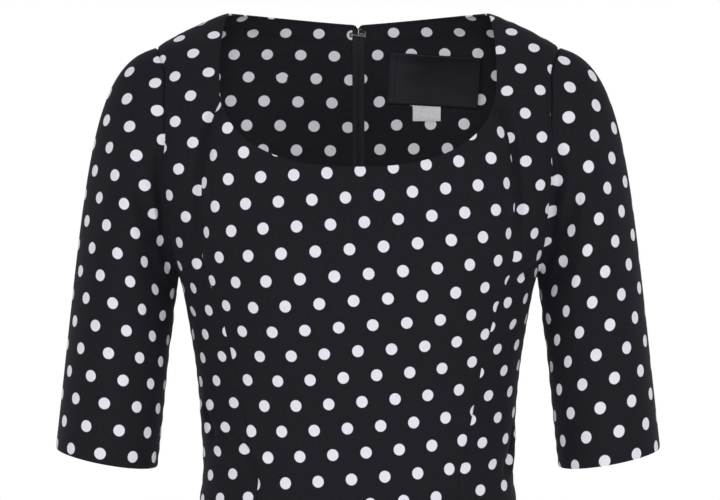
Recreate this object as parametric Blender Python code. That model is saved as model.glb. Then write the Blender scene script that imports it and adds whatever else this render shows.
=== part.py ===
"""Pencil dress on a general figure with no wearer: an open, hollow worn form.

Metres, +Z up. The front faces -Y and +X is the viewer's right. The origin lies
midway between the two neck points, at the inner ends of the shoulder seams,
where the shoulders carry the dress.
"""
import math

import bmesh
import bpy
import numpy as np
from mathutils import Matrix, Vector

# ---- Driving dimensions -------------------------------------------------------
CLOTH = 0.0015            # wall of the dress cloth
SEAM_GAP = 0.0004         # between two pieces at a seam
ARM_SEAM_GAP = 0.0005     # sleeve's first ring outside the armhole
HEM_Z = -1.055            # knee-length hem
NECK_POINT_X = 0.1245     # inner end of a shoulder seam
NECK_SIDE_X = 0.1303      # widest place of the front neckline
NECK_SIDE_Z = -0.060      # the scoop starts to round here
NECK_LOW_Z = -0.142       # lowest point of the front neckline
NECK_POWER = 2.4          # squareness of the scoop
BACK_NECK_DROP = 0.0135   # back neckline below the neck points
BACK_NECK_POWER = 1.6
PRINCESS_TOP_Z = -0.080   # where a princess seam meets the neckline

ARM_TOP_Z = -0.033        # shoulder tip
ARM_LOW_Z = -0.250        # underarm point
ARM_FRONT = 0.058         # armhole's reach forward of the shoulder line
ARM_BACK = 0.064          # and behind it

BUST_X = 0.088            # fullest place, from the centre line
BUST_Z = -0.252
BUST_FULLNESS = 0.011
BUST_SPREAD_IN = 0.085
BUST_SPREAD_OUT = 0.044
BUST_SPREAD_Z = 0.070
HOLLOW_X = 0.160          # soft upright hollow between bust and armhole
HOLLOW_Z = -0.150
HOLLOW_DEPTH = 0.006
HOLLOW_SPREAD_X = 0.015
HOLLOW_SPREAD_Z = 0.075

CUFF_CENTRE = (0.2387, -0.010, -0.4210)
CUFF_HALF_WIDTH = 0.0491
CUFF_HALF_DEPTH = 0.0540
CUFF_TILT = math.radians(10.5)
SLEEVE_TILT = math.radians(6.6)
CUFF_FRONT_DIP = 0.003
CAP_FOLD_DEPTH = 0.006    # soft fold of the sleeve beside the front armhole
CAP_FOLD_TURN = math.radians(108)
CAP_FOLD_SPREAD = math.radians(34)
CAP_FOLD_ALONG = 0.20
CAP_FOLD_WIDTH = 0.10
CAP_FOLD_START = 0.05

VENT_TOP_Z = -0.860       # top of the centre-back vent
VENT_LAP = 0.038          # underlap past the centre line
VENT_STEP = CLOTH + SEAM_GAP

TAPE_LEFT_X = -0.0055
TAPE_RIGHT_X = 0.0062
TAPE_TOP_Z = -0.028
TAPE_LOW_Z = -0.560
TRIM_THICKNESS = 0.0010   # zip tape, label and size tag
TRIM_GAP = 0.0004

LABEL_CENTRE = (0.0735, -0.0650)
LABEL_SIZE = (0.088, 0.050)
LABEL_TURN = math.radians(-3.4)
TAG_CENTRE = (0.0665, -0.0910)
TAG_SIZE = (0.027, 0.028)

SLIDER_Z = -0.031         # middle of the closed slider
SLIDER_SIZE = (0.0052, 0.0090, 0.0016)
SLIDER_GAP = 0.0006       # off the cloth's outer face
EAR_SIZE = (0.0010, 0.0030, 0.0030)
EAR_SINK = 0.0002         # ears start inside the slider's plate
PIN_RADIUS = 0.0005
PIN_LIFT = 0.0021         # pin's height over the slider's face
KNUCKLE_RADIUS = 0.0014
KNUCKLE_HOLE = 0.00085
KNUCKLE_WIDTH = 0.0024
PULL_LENGTH = 0.0170
PULL_THICKNESS = 0.0009
PULL_TIP_SIZE = (0.0038, 0.0085, 0.0011)

WIRE_RADIUS = 0.0004      # hook and eye
HOOK_Z = -0.0215
WIRE_LEG = 0.0070
EYE_SPREAD = 0.0012       # half width of the eye's loop
EYE_BEND_X = 0.00136      # centre of its round end
BILL_FOOT_X = -0.0030     # the hook's bill leaves the cloth here
BILL_TIP_X = 0.0021

# Sections across the body: height, half width, front and back depth, squareness.
SECTION_COLUMNS = ("z", "width", "front", "back", "power")
SECTIONS = (
    (0.000, 0.1245, 0.008, 0.060, 2.6),
    (-0.010, 0.1490, 0.022, 0.067, 2.6),
    (-0.026, 0.1800, 0.040, 0.076, 2.7),
    (-0.033, 0.1900, 0.047, 0.079, 2.7),
    (-0.050, 0.1945, 0.061, 0.086, 2.8),
    (-0.083, 0.1975, 0.081, 0.095, 3.0),
    (-0.130, 0.1970, 0.098, 0.103, 3.0),
    (-0.168, 0.1915, 0.108, 0.106, 2.9),
    (-0.216, 0.1805, 0.117, 0.107, 2.7),
    (-0.250, 0.1695, 0.120, 0.106, 2.5),
    (-0.267, 0.1653, 0.119, 0.105, 2.4),
    (-0.299, 0.1596, 0.113, 0.102, 2.3),
    (-0.336, 0.1539, 0.105, 0.097, 2.2),
    (-0.378, 0.1501, 0.097, 0.092, 2.15),
    (-0.432, 0.1473, 0.091, 0.088, 2.1),
    (-0.461, 0.1506, 0.092, 0.091, 2.1),
    (-0.500, 0.1590, 0.096, 0.100, 2.15),
    (-0.560, 0.1730, 0.104, 0.117, 2.2),
    (-0.640, 0.1850, 0.111, 0.130, 2.25),
    (-0.720, 0.1860, 0.112, 0.129, 2.25),
    (-0.820, 0.1800, 0.110, 0.119, 2.25),
    (-0.940, 0.1715, 0.106, 0.109, 2.25),
    (-1.055, 0.1660, 0.103, 0.104, 2.25),
)

# Princess seam: height, distance from the centre line.
PRINCESS_COLUMNS = ("z", "x")
PRINCESS = (
    (-0.080, 0.1284),
    (-0.102, 0.1375),
    (-0.121, 0.1420),
    (-0.174, 0.1470),
    (-0.216, 0.1470),
    (-0.242, 0.1425),
    (-0.263, 0.1345),
    (-0.312, 0.1205),
    (-0.359, 0.1110),
    (-0.406, 0.1020),
    (-0.440, 0.0950),
    (-0.500, 0.0990),
    (-0.560, 0.1080),
    (-0.640, 0.1150),
    (-0.820, 0.1150),
    (-1.055, 0.1090),
)

# How far a sleeve runs straight on from the armhole, at its three quarters.
SLEEVE_LEAD_TOP = (0.065, 0.000, -0.015)
SLEEVE_LEAD_SIDE = (0.052, -0.022, -0.038)
SLEEVE_LEAD_UNDER = (0.009, 0.000, -0.050)
SLEEVE_END_MEAN = 0.172
SLEEVE_END_SWING = 0.092

# Steps of the meshes.
CENTRE_COLUMNS = 12
SIDE_COLUMNS = 6
BACK_COLUMNS = 10
NECK_ROWS = 5             # rows of a side front beside the neckline
ARM_ROWS = 14
LOWER_ROWS = 22
SLEEVE_ROWS = 15
ROD_SIDES = 20
PROBE = 2e-4              # step for reading a surface's direction
LEFT, RIGHT = -1, 1

# Colour, roughness and metallic value of each finish.
NAVY_CLOTH = ((0.0165, 0.0160, 0.0215), 0.85, 0.0)
TAPE_CLOTH = ((0.0160, 0.0155, 0.0200), 0.80, 0.0)
LABEL_CLOTH = ((0.0220, 0.0215, 0.0330), 0.60, 0.0)
TAG_CLOTH = ((0.5500, 0.5400, 0.5600), 0.75, 0.0)
DARK_METAL = ((0.0300, 0.0300, 0.0380), 0.35, 1.0)
BRIGHT_METAL = ((0.5500, 0.5500, 0.5800), 0.30, 1.0)


def smooth_column(table, columns, name, z):
    """One column of a table at heights z, on a smooth curve that never overshoots."""
    rows = np.array(sorted(table))
    heights = rows[:, 0]
    values = rows[:, columns.index(name)]
    step = np.diff(heights)
    slope = np.diff(values) / step
    tangent = np.zeros_like(values)
    same_way = slope[:-1] * slope[1:] > 0
    mean = 2 * slope[:-1] * slope[1:] / np.where(same_way, slope[:-1] + slope[1:], 1)
    tangent[1:-1] = np.where(same_way, mean, 0)
    tangent[0], tangent[-1] = slope[0], slope[-1]
    low = np.clip(np.searchsorted(heights, z) - 1, 0, len(step) - 1)
    t = (z - heights[low]) / step[low]
    return ((2 * t ** 3 - 3 * t ** 2 + 1) * values[low]
            + (t ** 3 - 2 * t ** 2 + t) * step[low] * tangent[low]
            + (3 * t ** 2 - 2 * t ** 3) * values[low + 1]
            + (t ** 3 - t ** 2) * step[low] * tangent[low + 1])


def section(name, z):
    return smooth_column(SECTIONS, SECTION_COLUMNS, name, z)


def princess_x(z):
    return smooth_column(PRINCESS, PRINCESS_COLUMNS, "x", z)


def body_point(turn, z):
    """Point of the dress body; turn runs from 0 at centre front round to pi at centre back."""
    turn = np.asarray(turn, float)
    z = np.asarray(z, float)
    width = section("width", z)
    depth = np.where(np.cos(turn) >= 0, section("front", z), section("back", z))
    power = section("power", z)
    across = np.abs(np.sin(turn) / width) ** power
    along = np.abs(np.cos(turn) / depth) ** power
    reach = (across + along) ** (-1 / power)
    x = reach * np.sin(turn)
    y = -reach * np.cos(turn)
    out = np.abs(x)
    spread = np.where(out < BUST_X, BUST_SPREAD_IN, BUST_SPREAD_OUT)
    bust = BUST_FULLNESS * np.exp(-((out - BUST_X) / spread) ** 2 - ((z - BUST_Z) / BUST_SPREAD_Z) ** 2)
    hollow = HOLLOW_DEPTH * np.exp(-((out - HOLLOW_X) / HOLLOW_SPREAD_X) ** 2
                                   - ((z - HOLLOW_Z) / HOLLOW_SPREAD_Z) ** 2)
    fade = np.where(np.cos(turn) > 0, 1 - np.minimum(out / width, 1) ** 8, 0)
    y = y - fade * (bust - hollow)
    return np.stack(np.broadcast_arrays(x, y, z), axis=-1)


def unit(vectors):
    return vectors / np.linalg.norm(vectors, axis=-1, keepdims=True)


def body_normal(turn, z):
    small = PROBE
    round_body = body_point(turn + small, z) - body_point(turn - small, z)
    up_body = body_point(turn, z + small) - body_point(turn, z - small)
    return unit(np.cross(round_body, up_body))


def turn_at_x(x, z, back=False):
    """Turn of the body's point at a distance x from the centre line."""
    width = section("width", z)
    depth = section("back" if back else "front", z)
    power = section("power", z)
    part = np.clip(1 - np.abs(x / width) ** power, 0, 1)
    turn = np.arctan2(np.abs(x), depth * part ** (1 / power))
    return np.copysign(math.pi - turn if back else turn, x)


def armhole(angle):
    """Turn and height of the right armhole; angle is 0 at the shoulder, a quarter at the front."""
    angle = np.asarray(angle, float)
    z = (ARM_TOP_Z + ARM_LOW_Z) / 2 + (ARM_TOP_Z - ARM_LOW_Z) / 2 * np.cos(angle)
    front = np.sin(angle) >= 0
    reach = np.where(front, ARM_FRONT, ARM_BACK) * np.abs(np.sin(angle))
    depth = np.where(front, section("front", z), section("back", z))
    power = section("power", z)
    x = section("width", z) * (1 - (reach / depth) ** power) ** (1 / power)
    turn = np.arctan2(x, reach)
    return np.where(front, turn, math.pi - turn), z


def front_neck_x(z):
    """Distance of the front neckline from the centre line, beside the neck."""
    lean = (NECK_SIDE_X - NECK_POINT_X) * ((z + 0.05) / 0.05) ** 2
    scoop = np.clip((NECK_SIDE_Z - z) / (NECK_SIDE_Z - NECK_LOW_Z), 0, 1)
    return np.where(z > NECK_SIDE_Z, NECK_SIDE_X - lean,
                    NECK_SIDE_X * (1 - scoop ** NECK_POWER) ** (1 / NECK_POWER))


def pulled_in(points):
    """A grid of points with its rim drawn in by half a seam's gap."""
    moved = points.copy()
    for axis in (0, 1):
        rows = np.swapaxes(points, 0, axis)
        target = np.swapaxes(moved, 0, axis)
        for edge, inner in ((0, 1), (-1, -2)):
            along = unit(np.gradient(rows[edge], axis=0))
            inward = rows[inner] - rows[edge]
            inward = inward - np.sum(inward * along, axis=-1, keepdims=True) * along
            target[edge] = target[edge] + unit(inward) * SEAM_GAP / 2
    return moved


def finish(colour_roughness_metal, name):
    colour, roughness, metallic = colour_roughness_metal
    material = bpy.data.materials.new(name)
    material.use_nodes = True
    shader = material.node_tree.nodes["Principled BSDF"]
    shader.inputs["Base Color"].default_value = (*colour, 1)
    shader.inputs["Roughness"].default_value = roughness
    shader.inputs["Metallic"].default_value = metallic
    material.diffuse_color = (*colour, 1)
    return material


def new_object(name, points, faces, look):
    mesh = bpy.data.meshes.new(name)
    mesh.from_pydata([tuple(p) for p in points], [], faces)
    mesh.materials.append(finish(look, name))
    made = bpy.data.objects.new(name, mesh)
    bpy.context.scene.collection.objects.link(made)
    return made


def cloth_solid(name, outer, inner, quads, look=NAVY_CLOTH):
    """Close an outer and an inner skin into one wall, with a rim on every open edge."""
    count = len(outer)
    faces = [tuple(q) for q in quads]
    faces += [tuple(count + i for i in reversed(q)) for q in quads]
    edges = {(q[i], q[(i + 1) % len(q)]) for q in quads for i in range(len(q))}
    for a, b in edges:
        if (b, a) not in edges:
            faces.append((b, a, count + a, count + b))
    made = new_object(name, np.concatenate([outer, inner]), faces, look)
    body = bmesh.new()
    body.from_mesh(made.data)
    bmesh.ops.recalc_face_normals(body, faces=body.faces)
    bmesh.ops.triangulate(body, faces=body.faces)
    body.to_mesh(made.data)
    body.free()
    made.data.shade_smooth()
    made.data.set_sharp_from_angle(angle=math.radians(50))
    return made


def grid_quads(rows, columns, first=0):
    """Quads of a grid whose rows run down and whose columns run to the viewer's right."""
    step = columns + 1
    return [(first + r * step + c, first + (r + 1) * step + c,
             first + (r + 1) * step + c + 1, first + r * step + c + 1)
            for r in range(rows) for c in range(columns)]


def body_panel(name, turn, z, extra=None):
    """One panel of the body from its grid of turns and heights."""
    outer = pulled_in(body_point(turn, z))
    normal = body_normal(turn, z)
    inner = outer - CLOTH * normal
    rows, columns = turn.shape
    quads = grid_quads(rows - 1, columns - 1)
    outer = outer.reshape(-1, 3)
    inner = inner.reshape(-1, 3)
    if extra is not None:
        outer, inner, quads = extra(outer, inner, quads, rows, columns)
    return cloth_solid(name, outer, inner, quads)


def front_centre():
    """Panel between the princess seams, with the scoop of the neckline as its top edge."""
    scoop = NECK_SIDE_Z - NECK_LOW_Z
    corner = math.acos(((NECK_SIDE_Z - PRINCESS_TOP_Z) / scoop) ** (NECK_POWER / 2))
    angle = np.linspace(-corner, corner, CENTRE_COLUMNS + 1)
    neck_x = NECK_SIDE_X * np.sign(angle) * np.abs(np.sin(angle)) ** (2 / NECK_POWER)
    neck_z = NECK_SIDE_Z - scoop * np.cos(angle) ** (2 / NECK_POWER)
    neck_share = neck_x / princess_x(neck_z)
    even_share = np.linspace(-1, 1, CENTRE_COLUMNS + 1)
    seam_z = side_front_inner_z()[NECK_ROWS:, None]
    left = (seam_z - HEM_Z) / (PRINCESS_TOP_Z - HEM_Z)
    share = even_share + (neck_share - even_share) * left ** 3
    z = seam_z + (neck_z - PRINCESS_TOP_Z) * left ** 4
    turn = turn_at_x(share * princess_x(z), z)
    body_panel("front_centre", turn, z)


def side_front_inner_z():
    """Heights down the inner edge of a side front: the neckline, then the princess seam."""
    neck_z = np.linspace(0, PRINCESS_TOP_Z, NECK_ROWS + 1)
    seam_z = np.linspace(PRINCESS_TOP_Z, ARM_LOW_Z, ARM_ROWS - NECK_ROWS + 1)[1:]
    lower_z = np.linspace(ARM_LOW_Z, HEM_Z, LOWER_ROWS + 1)[1:]
    return np.concatenate([neck_z, seam_z, lower_z])


def outer_edge(back):
    """Turns and heights down a side: along the armhole, then the side seam."""
    angle = np.linspace(0, math.pi, ARM_ROWS + 1)
    turn, z = armhole(-angle if back else angle)
    lower = np.linspace(ARM_LOW_Z, HEM_Z, LOWER_ROWS + 1)[1:]
    return np.append(turn, np.full(LOWER_ROWS, math.pi / 2)), np.append(z, lower)


def front_side(name, side):
    """Side front: neckline and princess seam inside, armhole and side seam outside."""
    side_turn, side_z = outer_edge(back=False)
    inner_z = side_front_inner_z()
    inner_x = np.where(inner_z >= PRINCESS_TOP_Z, front_neck_x(inner_z), princess_x(inner_z))
    inner_x = np.minimum(inner_x, section("width", inner_z))
    inner_turn = turn_at_x(inner_x, inner_z)
    share = np.linspace(0, 1, SIDE_COLUMNS + 1)
    turn = inner_turn[:, None] * (1 - share) + side_turn[:, None] * share
    z = inner_z[:, None] * (1 - share) + side_z[:, None] * share
    if side == LEFT:
        turn, z = -turn[:, ::-1], z[:, ::-1]
    body_panel(name, turn, z)


def centre_back_z():
    """Heights down the centre back, from the neckline to the hem."""
    upper = np.linspace(-BACK_NECK_DROP, ARM_LOW_Z, SIDE_COLUMNS + ARM_ROWS + 1)
    return np.append(upper, np.linspace(ARM_LOW_Z, HEM_Z, LOWER_ROWS + 1)[1:])


def back_grid():
    """Turns and heights of the right back, from the centre line out to the side."""
    arm_turn, arm_z = outer_edge(back=True)
    shoulder = np.linspace(0, ARM_TOP_Z, SIDE_COLUMNS + 1)[:-1]
    side_turn = np.append(np.full(SIDE_COLUMNS, math.pi / 2), arm_turn)
    side_z = np.append(shoulder, arm_z)
    top_rows = SIDE_COLUMNS + ARM_ROWS
    centre_z = centre_back_z()
    share = np.linspace(0, 1, BACK_COLUMNS + 1)
    turn = math.pi * (1 - share) + side_turn[:, None] * share
    z = centre_z[:, None] * (1 - share) + side_z[:, None] * share
    neck_x = NECK_POINT_X * share
    neck_z = -BACK_NECK_DROP * (1 - share ** BACK_NECK_POWER)
    neck_turn = turn_at_x(neck_x, neck_z, back=True)
    rows_down = np.arange(len(side_z))[:, None]
    settle = np.clip(1 - rows_down / top_rows, 0, 1) ** 2
    turn = turn + (neck_turn - turn[0]) * settle
    z = z + (neck_z - z[0]) * settle
    return turn, z


def vent_lap(outer, inner, quads, rows, columns):
    """Carry the right back's lowest centre edge on under the left back."""
    centre = np.arange(rows) * columns + columns - 1
    edge = centre[outer[centre, 2] < VENT_TOP_Z]
    z = outer[edge, 2]
    sunk = VENT_STEP * body_normal(math.pi, z)
    outer[edge] -= sunk
    inner[edge] -= sunk
    turn = 2 * math.pi + turn_at_x(np.full_like(z, -VENT_LAP), z, back=True)
    normal = body_normal(turn, z)
    lap = body_point(turn, z) - VENT_STEP * normal
    count = len(outer)
    quads += [(edge[k], edge[k + 1], count + k + 1, count + k) for k in range(len(edge) - 1)]
    return np.vstack([outer, lap]), np.vstack([inner, lap - CLOTH * normal]), quads


def backs():
    turn, z = back_grid()
    body_panel("back_right", turn[:, ::-1], z[:, ::-1], extra=vent_lap)
    body_panel("back_left", -turn, z)


def sleeve_point(angle, along):
    """Point of the right sleeve: angle round it, along from the armhole (0) to the hem (1)."""
    angle = np.asarray(angle, float)[..., None]
    along = np.asarray(along, float)[..., None]
    start = body_point(*armhole(angle[..., 0])) + np.array((ARM_SEAM_GAP, 0, 0))
    cos, sin = np.cos(angle), np.sin(angle)
    top, under = ((1 + cos) / 2) ** 2, ((1 - cos) / 2) ** 2
    lead_side = np.array(SLEEVE_LEAD_SIDE) * np.concatenate([abs(sin), sin, abs(sin)], axis=-1)
    lead = (top * np.array(SLEEVE_LEAD_TOP) + under * np.array(SLEEVE_LEAD_UNDER)
            + (1 - top - under) * lead_side)
    across = np.array((math.cos(CUFF_TILT), 0, math.sin(CUFF_TILT)))
    end = (np.array(CUFF_CENTRE) + CUFF_HALF_WIDTH * cos * across
           + np.array((0, -CUFF_HALF_DEPTH, -CUFF_FRONT_DIP)) * sin)
    up = np.array((-math.sin(SLEEVE_TILT), 0, math.cos(SLEEVE_TILT)))
    reach = SLEEVE_END_MEAN + SLEEVE_END_SWING * cos
    rest = 1 - along
    point = (rest ** 3 * start + 3 * rest ** 2 * along * (start + lead)
             + 3 * rest * along ** 2 * (end + reach * up) + along ** 3 * end)
    turn_away = np.angle(np.exp(1j * (angle - CAP_FOLD_TURN)))
    fold = CAP_FOLD_DEPTH * np.exp(-(turn_away / CAP_FOLD_SPREAD) ** 2
                                   - ((along - CAP_FOLD_ALONG) / CAP_FOLD_WIDTH) ** 2)
    return point + fold * np.array((0.2, 1, 0)) * np.minimum(along / CAP_FOLD_START, 1)


def sleeve_normal(angle, along):
    small = PROBE
    round_arm = sleeve_point(angle + small, along) - sleeve_point(angle - small, along)
    down_arm = sleeve_point(angle, along + small) - sleeve_point(angle, along - small)
    return unit(np.cross(round_arm, down_arm))


def sleeve(name, side):
    """Tube from the armhole to the sleeve's hem."""
    turns = 2 * ARM_ROWS
    angle, along = np.meshgrid(np.linspace(0, 2 * math.pi, turns, endpoint=False),
                               np.linspace(0, 1, SLEEVE_ROWS + 1))
    mirror = np.array((side, 1, 1))
    outer = sleeve_point(angle, along)
    inner = (outer - CLOTH * sleeve_normal(angle, along)) * mirror
    outer = outer * mirror
    quads = []
    for r in range(SLEEVE_ROWS):
        for c in range(turns):
            after = (c + 1) % turns
            quad = (r * turns + c, r * turns + after,
                    (r + 1) * turns + after, (r + 1) * turns + c)
            quads.append(quad if side == RIGHT else quad[::-1])
    cloth_solid(name, outer.reshape(-1, 3), inner.reshape(-1, 3), quads)


def trim_patch(name, x, z, lift, look):
    """Thin strip on the inside of the back, lift metres off the cloth's inner face."""
    turn = turn_at_x(x, z, back=True) % (2 * math.pi)
    normal = body_normal(turn, z)
    far = body_point(turn, z) - (CLOTH + lift) * normal
    near = far - TRIM_THICKNESS * normal
    rows, columns = x.shape
    cloth_solid(name, far.reshape(-1, 3), near.reshape(-1, 3),
                grid_quads(rows - 1, columns - 1), look)


def zip_tape():
    """Tape down the centre back, with its rows level with those of the backs."""
    heights = [z for z in centre_back_z() if TAPE_LOW_Z < z < TAPE_TOP_Z]
    x, z = np.meshgrid(np.linspace(TAPE_LEFT_X, TAPE_RIGHT_X, 3), [TAPE_TOP_Z] + heights)
    trim_patch("zip_tape", x, z, TRIM_GAP, TAPE_CLOTH)


def neck_label():
    across, up = np.meshgrid(np.linspace(-0.5, 0.5, 7) * LABEL_SIZE[0],
                             np.linspace(0.5, -0.5, 5) * LABEL_SIZE[1])
    cos, sin = math.cos(LABEL_TURN), math.sin(LABEL_TURN)
    x = LABEL_CENTRE[0] + cos * across - sin * up
    z = LABEL_CENTRE[1] + sin * across + cos * up
    trim_patch("neck_label", x, z, 2 * TRIM_GAP + TRIM_THICKNESS, LABEL_CLOTH)


def size_tag():
    x, z = np.meshgrid(TAG_CENTRE[0] + np.linspace(-0.5, 0.5, 4) * TAG_SIZE[0],
                       TAG_CENTRE[1] + np.linspace(0.5, -0.5, 4) * TAG_SIZE[1])
    trim_patch("size_tag", x, z, TRIM_GAP, TAG_CLOTH)


def back_frame(z, lift):
    """Axes on the outside of the centre back: X across, Y down the cloth, Z out of it."""
    normal = Vector(body_normal(math.pi, z))
    across = Vector((1, 0, 0))
    down = normal.cross(across)
    if down.z > 0:
        down = -down
        across = -across
    place = Vector(body_point(math.pi, z)) + normal * lift
    frame = Matrix((across, down, normal)).transposed().to_4x4()
    frame.translation = place
    return frame


def box_part(name, size, centre=(0, 0, 0)):
    half = [s / 2 for s in size]
    points = [tuple(centre[i] + sign[i] * half[i] for i in range(3))
              for sign in [(x, y, z) for z in (-1, 1) for y in (-1, 1) for x in (-1, 1)]]
    faces = [(0, 2, 3, 1), (4, 5, 7, 6), (0, 1, 5, 4), (2, 6, 7, 3), (0, 4, 6, 2), (1, 3, 7, 5)]
    return new_object(name, points, faces, DARK_METAL)


def rod_part(name, radius, length, centre):
    """Round rod along X."""
    sides = ROD_SIDES
    angle = [2 * math.pi * k / sides for k in range(sides)]
    points = [(centre[0] + end * length / 2, centre[1] + radius * math.cos(a),
               centre[2] + radius * math.sin(a)) for end in (-1, 1) for a in angle]
    faces = [(k, k + sides, (k + 1) % sides + sides, (k + 1) % sides) for k in range(sides)]
    faces.append(tuple(range(sides)))
    faces.append(tuple(reversed(range(sides, 2 * sides))))
    made = new_object(name, points, faces, DARK_METAL)
    body = bmesh.new()
    body.from_mesh(made.data)
    bmesh.ops.recalc_face_normals(body, faces=body.faces)
    body.to_mesh(made.data)
    body.free()
    return made


def combine(target, tool, operation):
    """Join a hidden tool shape to a part, or cut it out."""
    tool.hide_render = True
    tool.display_type = "WIRE"
    change = target.modifiers.new(tool.name, "BOOLEAN")
    change.operation = operation
    change.solver = "EXACT"
    change.object = tool


def zip_head():
    """Slider at the top of the zip, and the pull tab hinged on its pin."""
    face = SLIDER_SIZE[2]
    frame = back_frame(SLIDER_Z, SLIDER_GAP)
    slider = box_part("zip_slider", SLIDER_SIZE, (0, 0, face / 2))
    ear_x = SLIDER_SIZE[0] / 2 - EAR_SIZE[0] / 2
    pin_y = -SLIDER_SIZE[1] / 2 + EAR_SIZE[1] / 2
    for label, sign in (("left", LEFT), ("right", RIGHT)):
        ear = box_part("ear_" + label, EAR_SIZE,
                       (sign * ear_x, pin_y, face - EAR_SINK + EAR_SIZE[2] / 2))
        ear.matrix_world = frame
        combine(slider, ear, "UNION")
    pin = rod_part("ear_pin", PIN_RADIUS, SLIDER_SIZE[0] - EAR_SIZE[0], (0, pin_y, face + PIN_LIFT))
    pin.matrix_world = frame
    combine(slider, pin, "UNION")
    slider.matrix_world = frame

    hinge = frame @ Matrix.Translation((0, pin_y, face + PIN_LIFT))
    pull = rod_part("zip_pull", KNUCKLE_RADIUS, KNUCKLE_WIDTH, (0, 0, 0))
    blade = box_part("pull_blade", (KNUCKLE_WIDTH, PULL_LENGTH, PULL_THICKNESS),
                     (0, PULL_LENGTH / 2, 0))
    tip = box_part("pull_tip", PULL_TIP_SIZE, (0, PULL_LENGTH - PULL_TIP_SIZE[1] / 2, 0))
    hole = rod_part("pull_hole", KNUCKLE_HOLE, KNUCKLE_WIDTH * 2, (0, 0, 0))
    for tool, operation in ((blade, "UNION"), (tip, "UNION"), (hole, "DIFFERENCE")):
        tool.matrix_world = hinge
        combine(pull, tool, operation)
    pull.matrix_world = hinge


def wire(name, route):
    """Round wire along a route on the inside of the back: across, up and lift off the cloth."""
    curve = bpy.data.curves.new(name, "CURVE")
    curve.dimensions = "3D"
    curve.bevel_depth = WIRE_RADIUS
    curve.bevel_resolution = 1
    curve.use_fill_caps = True
    line = curve.splines.new("POLY")
    line.points.add(len(route) - 1)
    normal = Vector(body_normal(math.pi, HOOK_Z))
    base = Vector(body_point(math.pi, HOOK_Z)) - normal * (CLOTH + TRIM_GAP + WIRE_RADIUS)
    up = Vector((1, 0, 0)).cross(normal)
    up = up if up.z > 0 else -up
    for point, (across, rise, lift) in zip(line.points, route):
        place = base + Vector((across, 0, 0)) + up * rise - normal * lift
        point.co = (*place, 1)
    curve.materials.append(finish(BRIGHT_METAL, name))
    made = bpy.data.objects.new(name, curve)
    bpy.context.scene.collection.objects.link(made)


def hook_and_eye():
    """Wire hook on the left back, its bill over the bend of the eye on the right back."""
    clear = 2 * WIRE_RADIUS + TRIM_GAP
    bend = [math.radians(a) for a in range(-90, 91, 30)]
    eye = [(EYE_BEND_X - EYE_SPREAD * math.cos(a), EYE_SPREAD * math.sin(a), 0) for a in bend]
    wire("neck_eye", [(WIRE_LEG, -EYE_SPREAD, 0)] + eye + [(WIRE_LEG, EYE_SPREAD, 0)])
    wire("neck_hook", [(-WIRE_LEG, 0, 0), (BILL_FOOT_X, 0, 0), (BILL_FOOT_X / 2, 0, clear),
                       (BILL_TIP_X - WIRE_RADIUS, 0, clear), (BILL_TIP_X, 0, clear * 0.8)])


def build():
    for old in list(bpy.data.objects):
        bpy.data.objects.remove(old, do_unlink=True)
    front_centre()
    front_side("front_side_left", LEFT)
    front_side("front_side_right", RIGHT)
    backs()
    sleeve("sleeve_left", LEFT)
    sleeve("sleeve_right", RIGHT)
    zip_tape()
    neck_label()
    size_tag()
    zip_head()
    hook_and_eye()


build()
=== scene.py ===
"""Pencil dress, dressed for its pictures: polka-dot cloth panels, sleeves, zip, label and stitching.

Metres, +Z up; the front faces -Y and +X is the viewer's right. The cloth follows the same
body and sleeve surfaces as the part, with finer steps, creases and rolled seams.
"""
import math

import bmesh
import bpy
import numpy as np
from mathutils import Matrix, Vector


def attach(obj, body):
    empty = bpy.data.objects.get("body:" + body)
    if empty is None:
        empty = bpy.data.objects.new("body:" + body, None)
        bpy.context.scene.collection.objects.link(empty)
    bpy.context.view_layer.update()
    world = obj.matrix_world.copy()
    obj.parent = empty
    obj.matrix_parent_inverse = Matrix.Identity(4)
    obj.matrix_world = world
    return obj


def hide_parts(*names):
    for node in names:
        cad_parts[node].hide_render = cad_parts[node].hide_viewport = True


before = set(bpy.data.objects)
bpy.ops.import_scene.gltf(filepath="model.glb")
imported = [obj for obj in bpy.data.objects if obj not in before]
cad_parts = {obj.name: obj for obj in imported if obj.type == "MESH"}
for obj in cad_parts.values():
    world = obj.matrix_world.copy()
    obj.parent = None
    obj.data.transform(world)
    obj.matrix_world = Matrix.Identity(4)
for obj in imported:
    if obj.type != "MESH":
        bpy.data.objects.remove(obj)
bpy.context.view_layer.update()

# ---- The dress: the part's own driving dimensions, but for a slightly higher back neckline ----
HEM_Z = -1.055
NECK_POINT_X = 0.1245
NECK_SIDE_X = 0.1303
NECK_SIDE_Z = -0.060
NECK_LOW_Z = -0.142
NECK_POWER = 2.4
NECK_LEAN_RUN = 0.05
BACK_NECK_DROP = 0.0120
BACK_NECK_POWER = 1.15
PRINCESS_TOP_Z = -0.080
ARM_TOP_Z = -0.033
ARM_LOW_Z = -0.250
ARM_MIDDLE_Z = (ARM_TOP_Z + ARM_LOW_Z) / 2
ARM_FRONT = 0.058
ARM_BACK = 0.064
BUST_X = 0.088
BUST_Z = -0.252
BUST_FULLNESS = 0.011
BUST_SPREAD_IN = 0.085
BUST_SPREAD_OUT = 0.044
BUST_SPREAD_Z = 0.070
HOLLOW_X = 0.160
HOLLOW_Z = -0.150
HOLLOW_DEPTH = 0.006
HOLLOW_SPREAD_X = 0.015
HOLLOW_SPREAD_Z = 0.075
SIDE_FADE_POWER = 8       # bust and hollow fade out just before the sides
CUFF_CENTRE = (0.2387, -0.010, -0.4210)
CUFF_HALF_WIDTH = 0.0491
CUFF_HALF_DEPTH = 0.0540
CUFF_TILT = math.radians(10.5)
SLEEVE_TILT = math.radians(6.6)
CUFF_FRONT_DIP = 0.003
CAP_FOLD_DEPTH = 0.006
CAP_FOLD_WAY = (0.2, 1, 0)
CAP_FOLD_TURN = math.radians(108)
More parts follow.
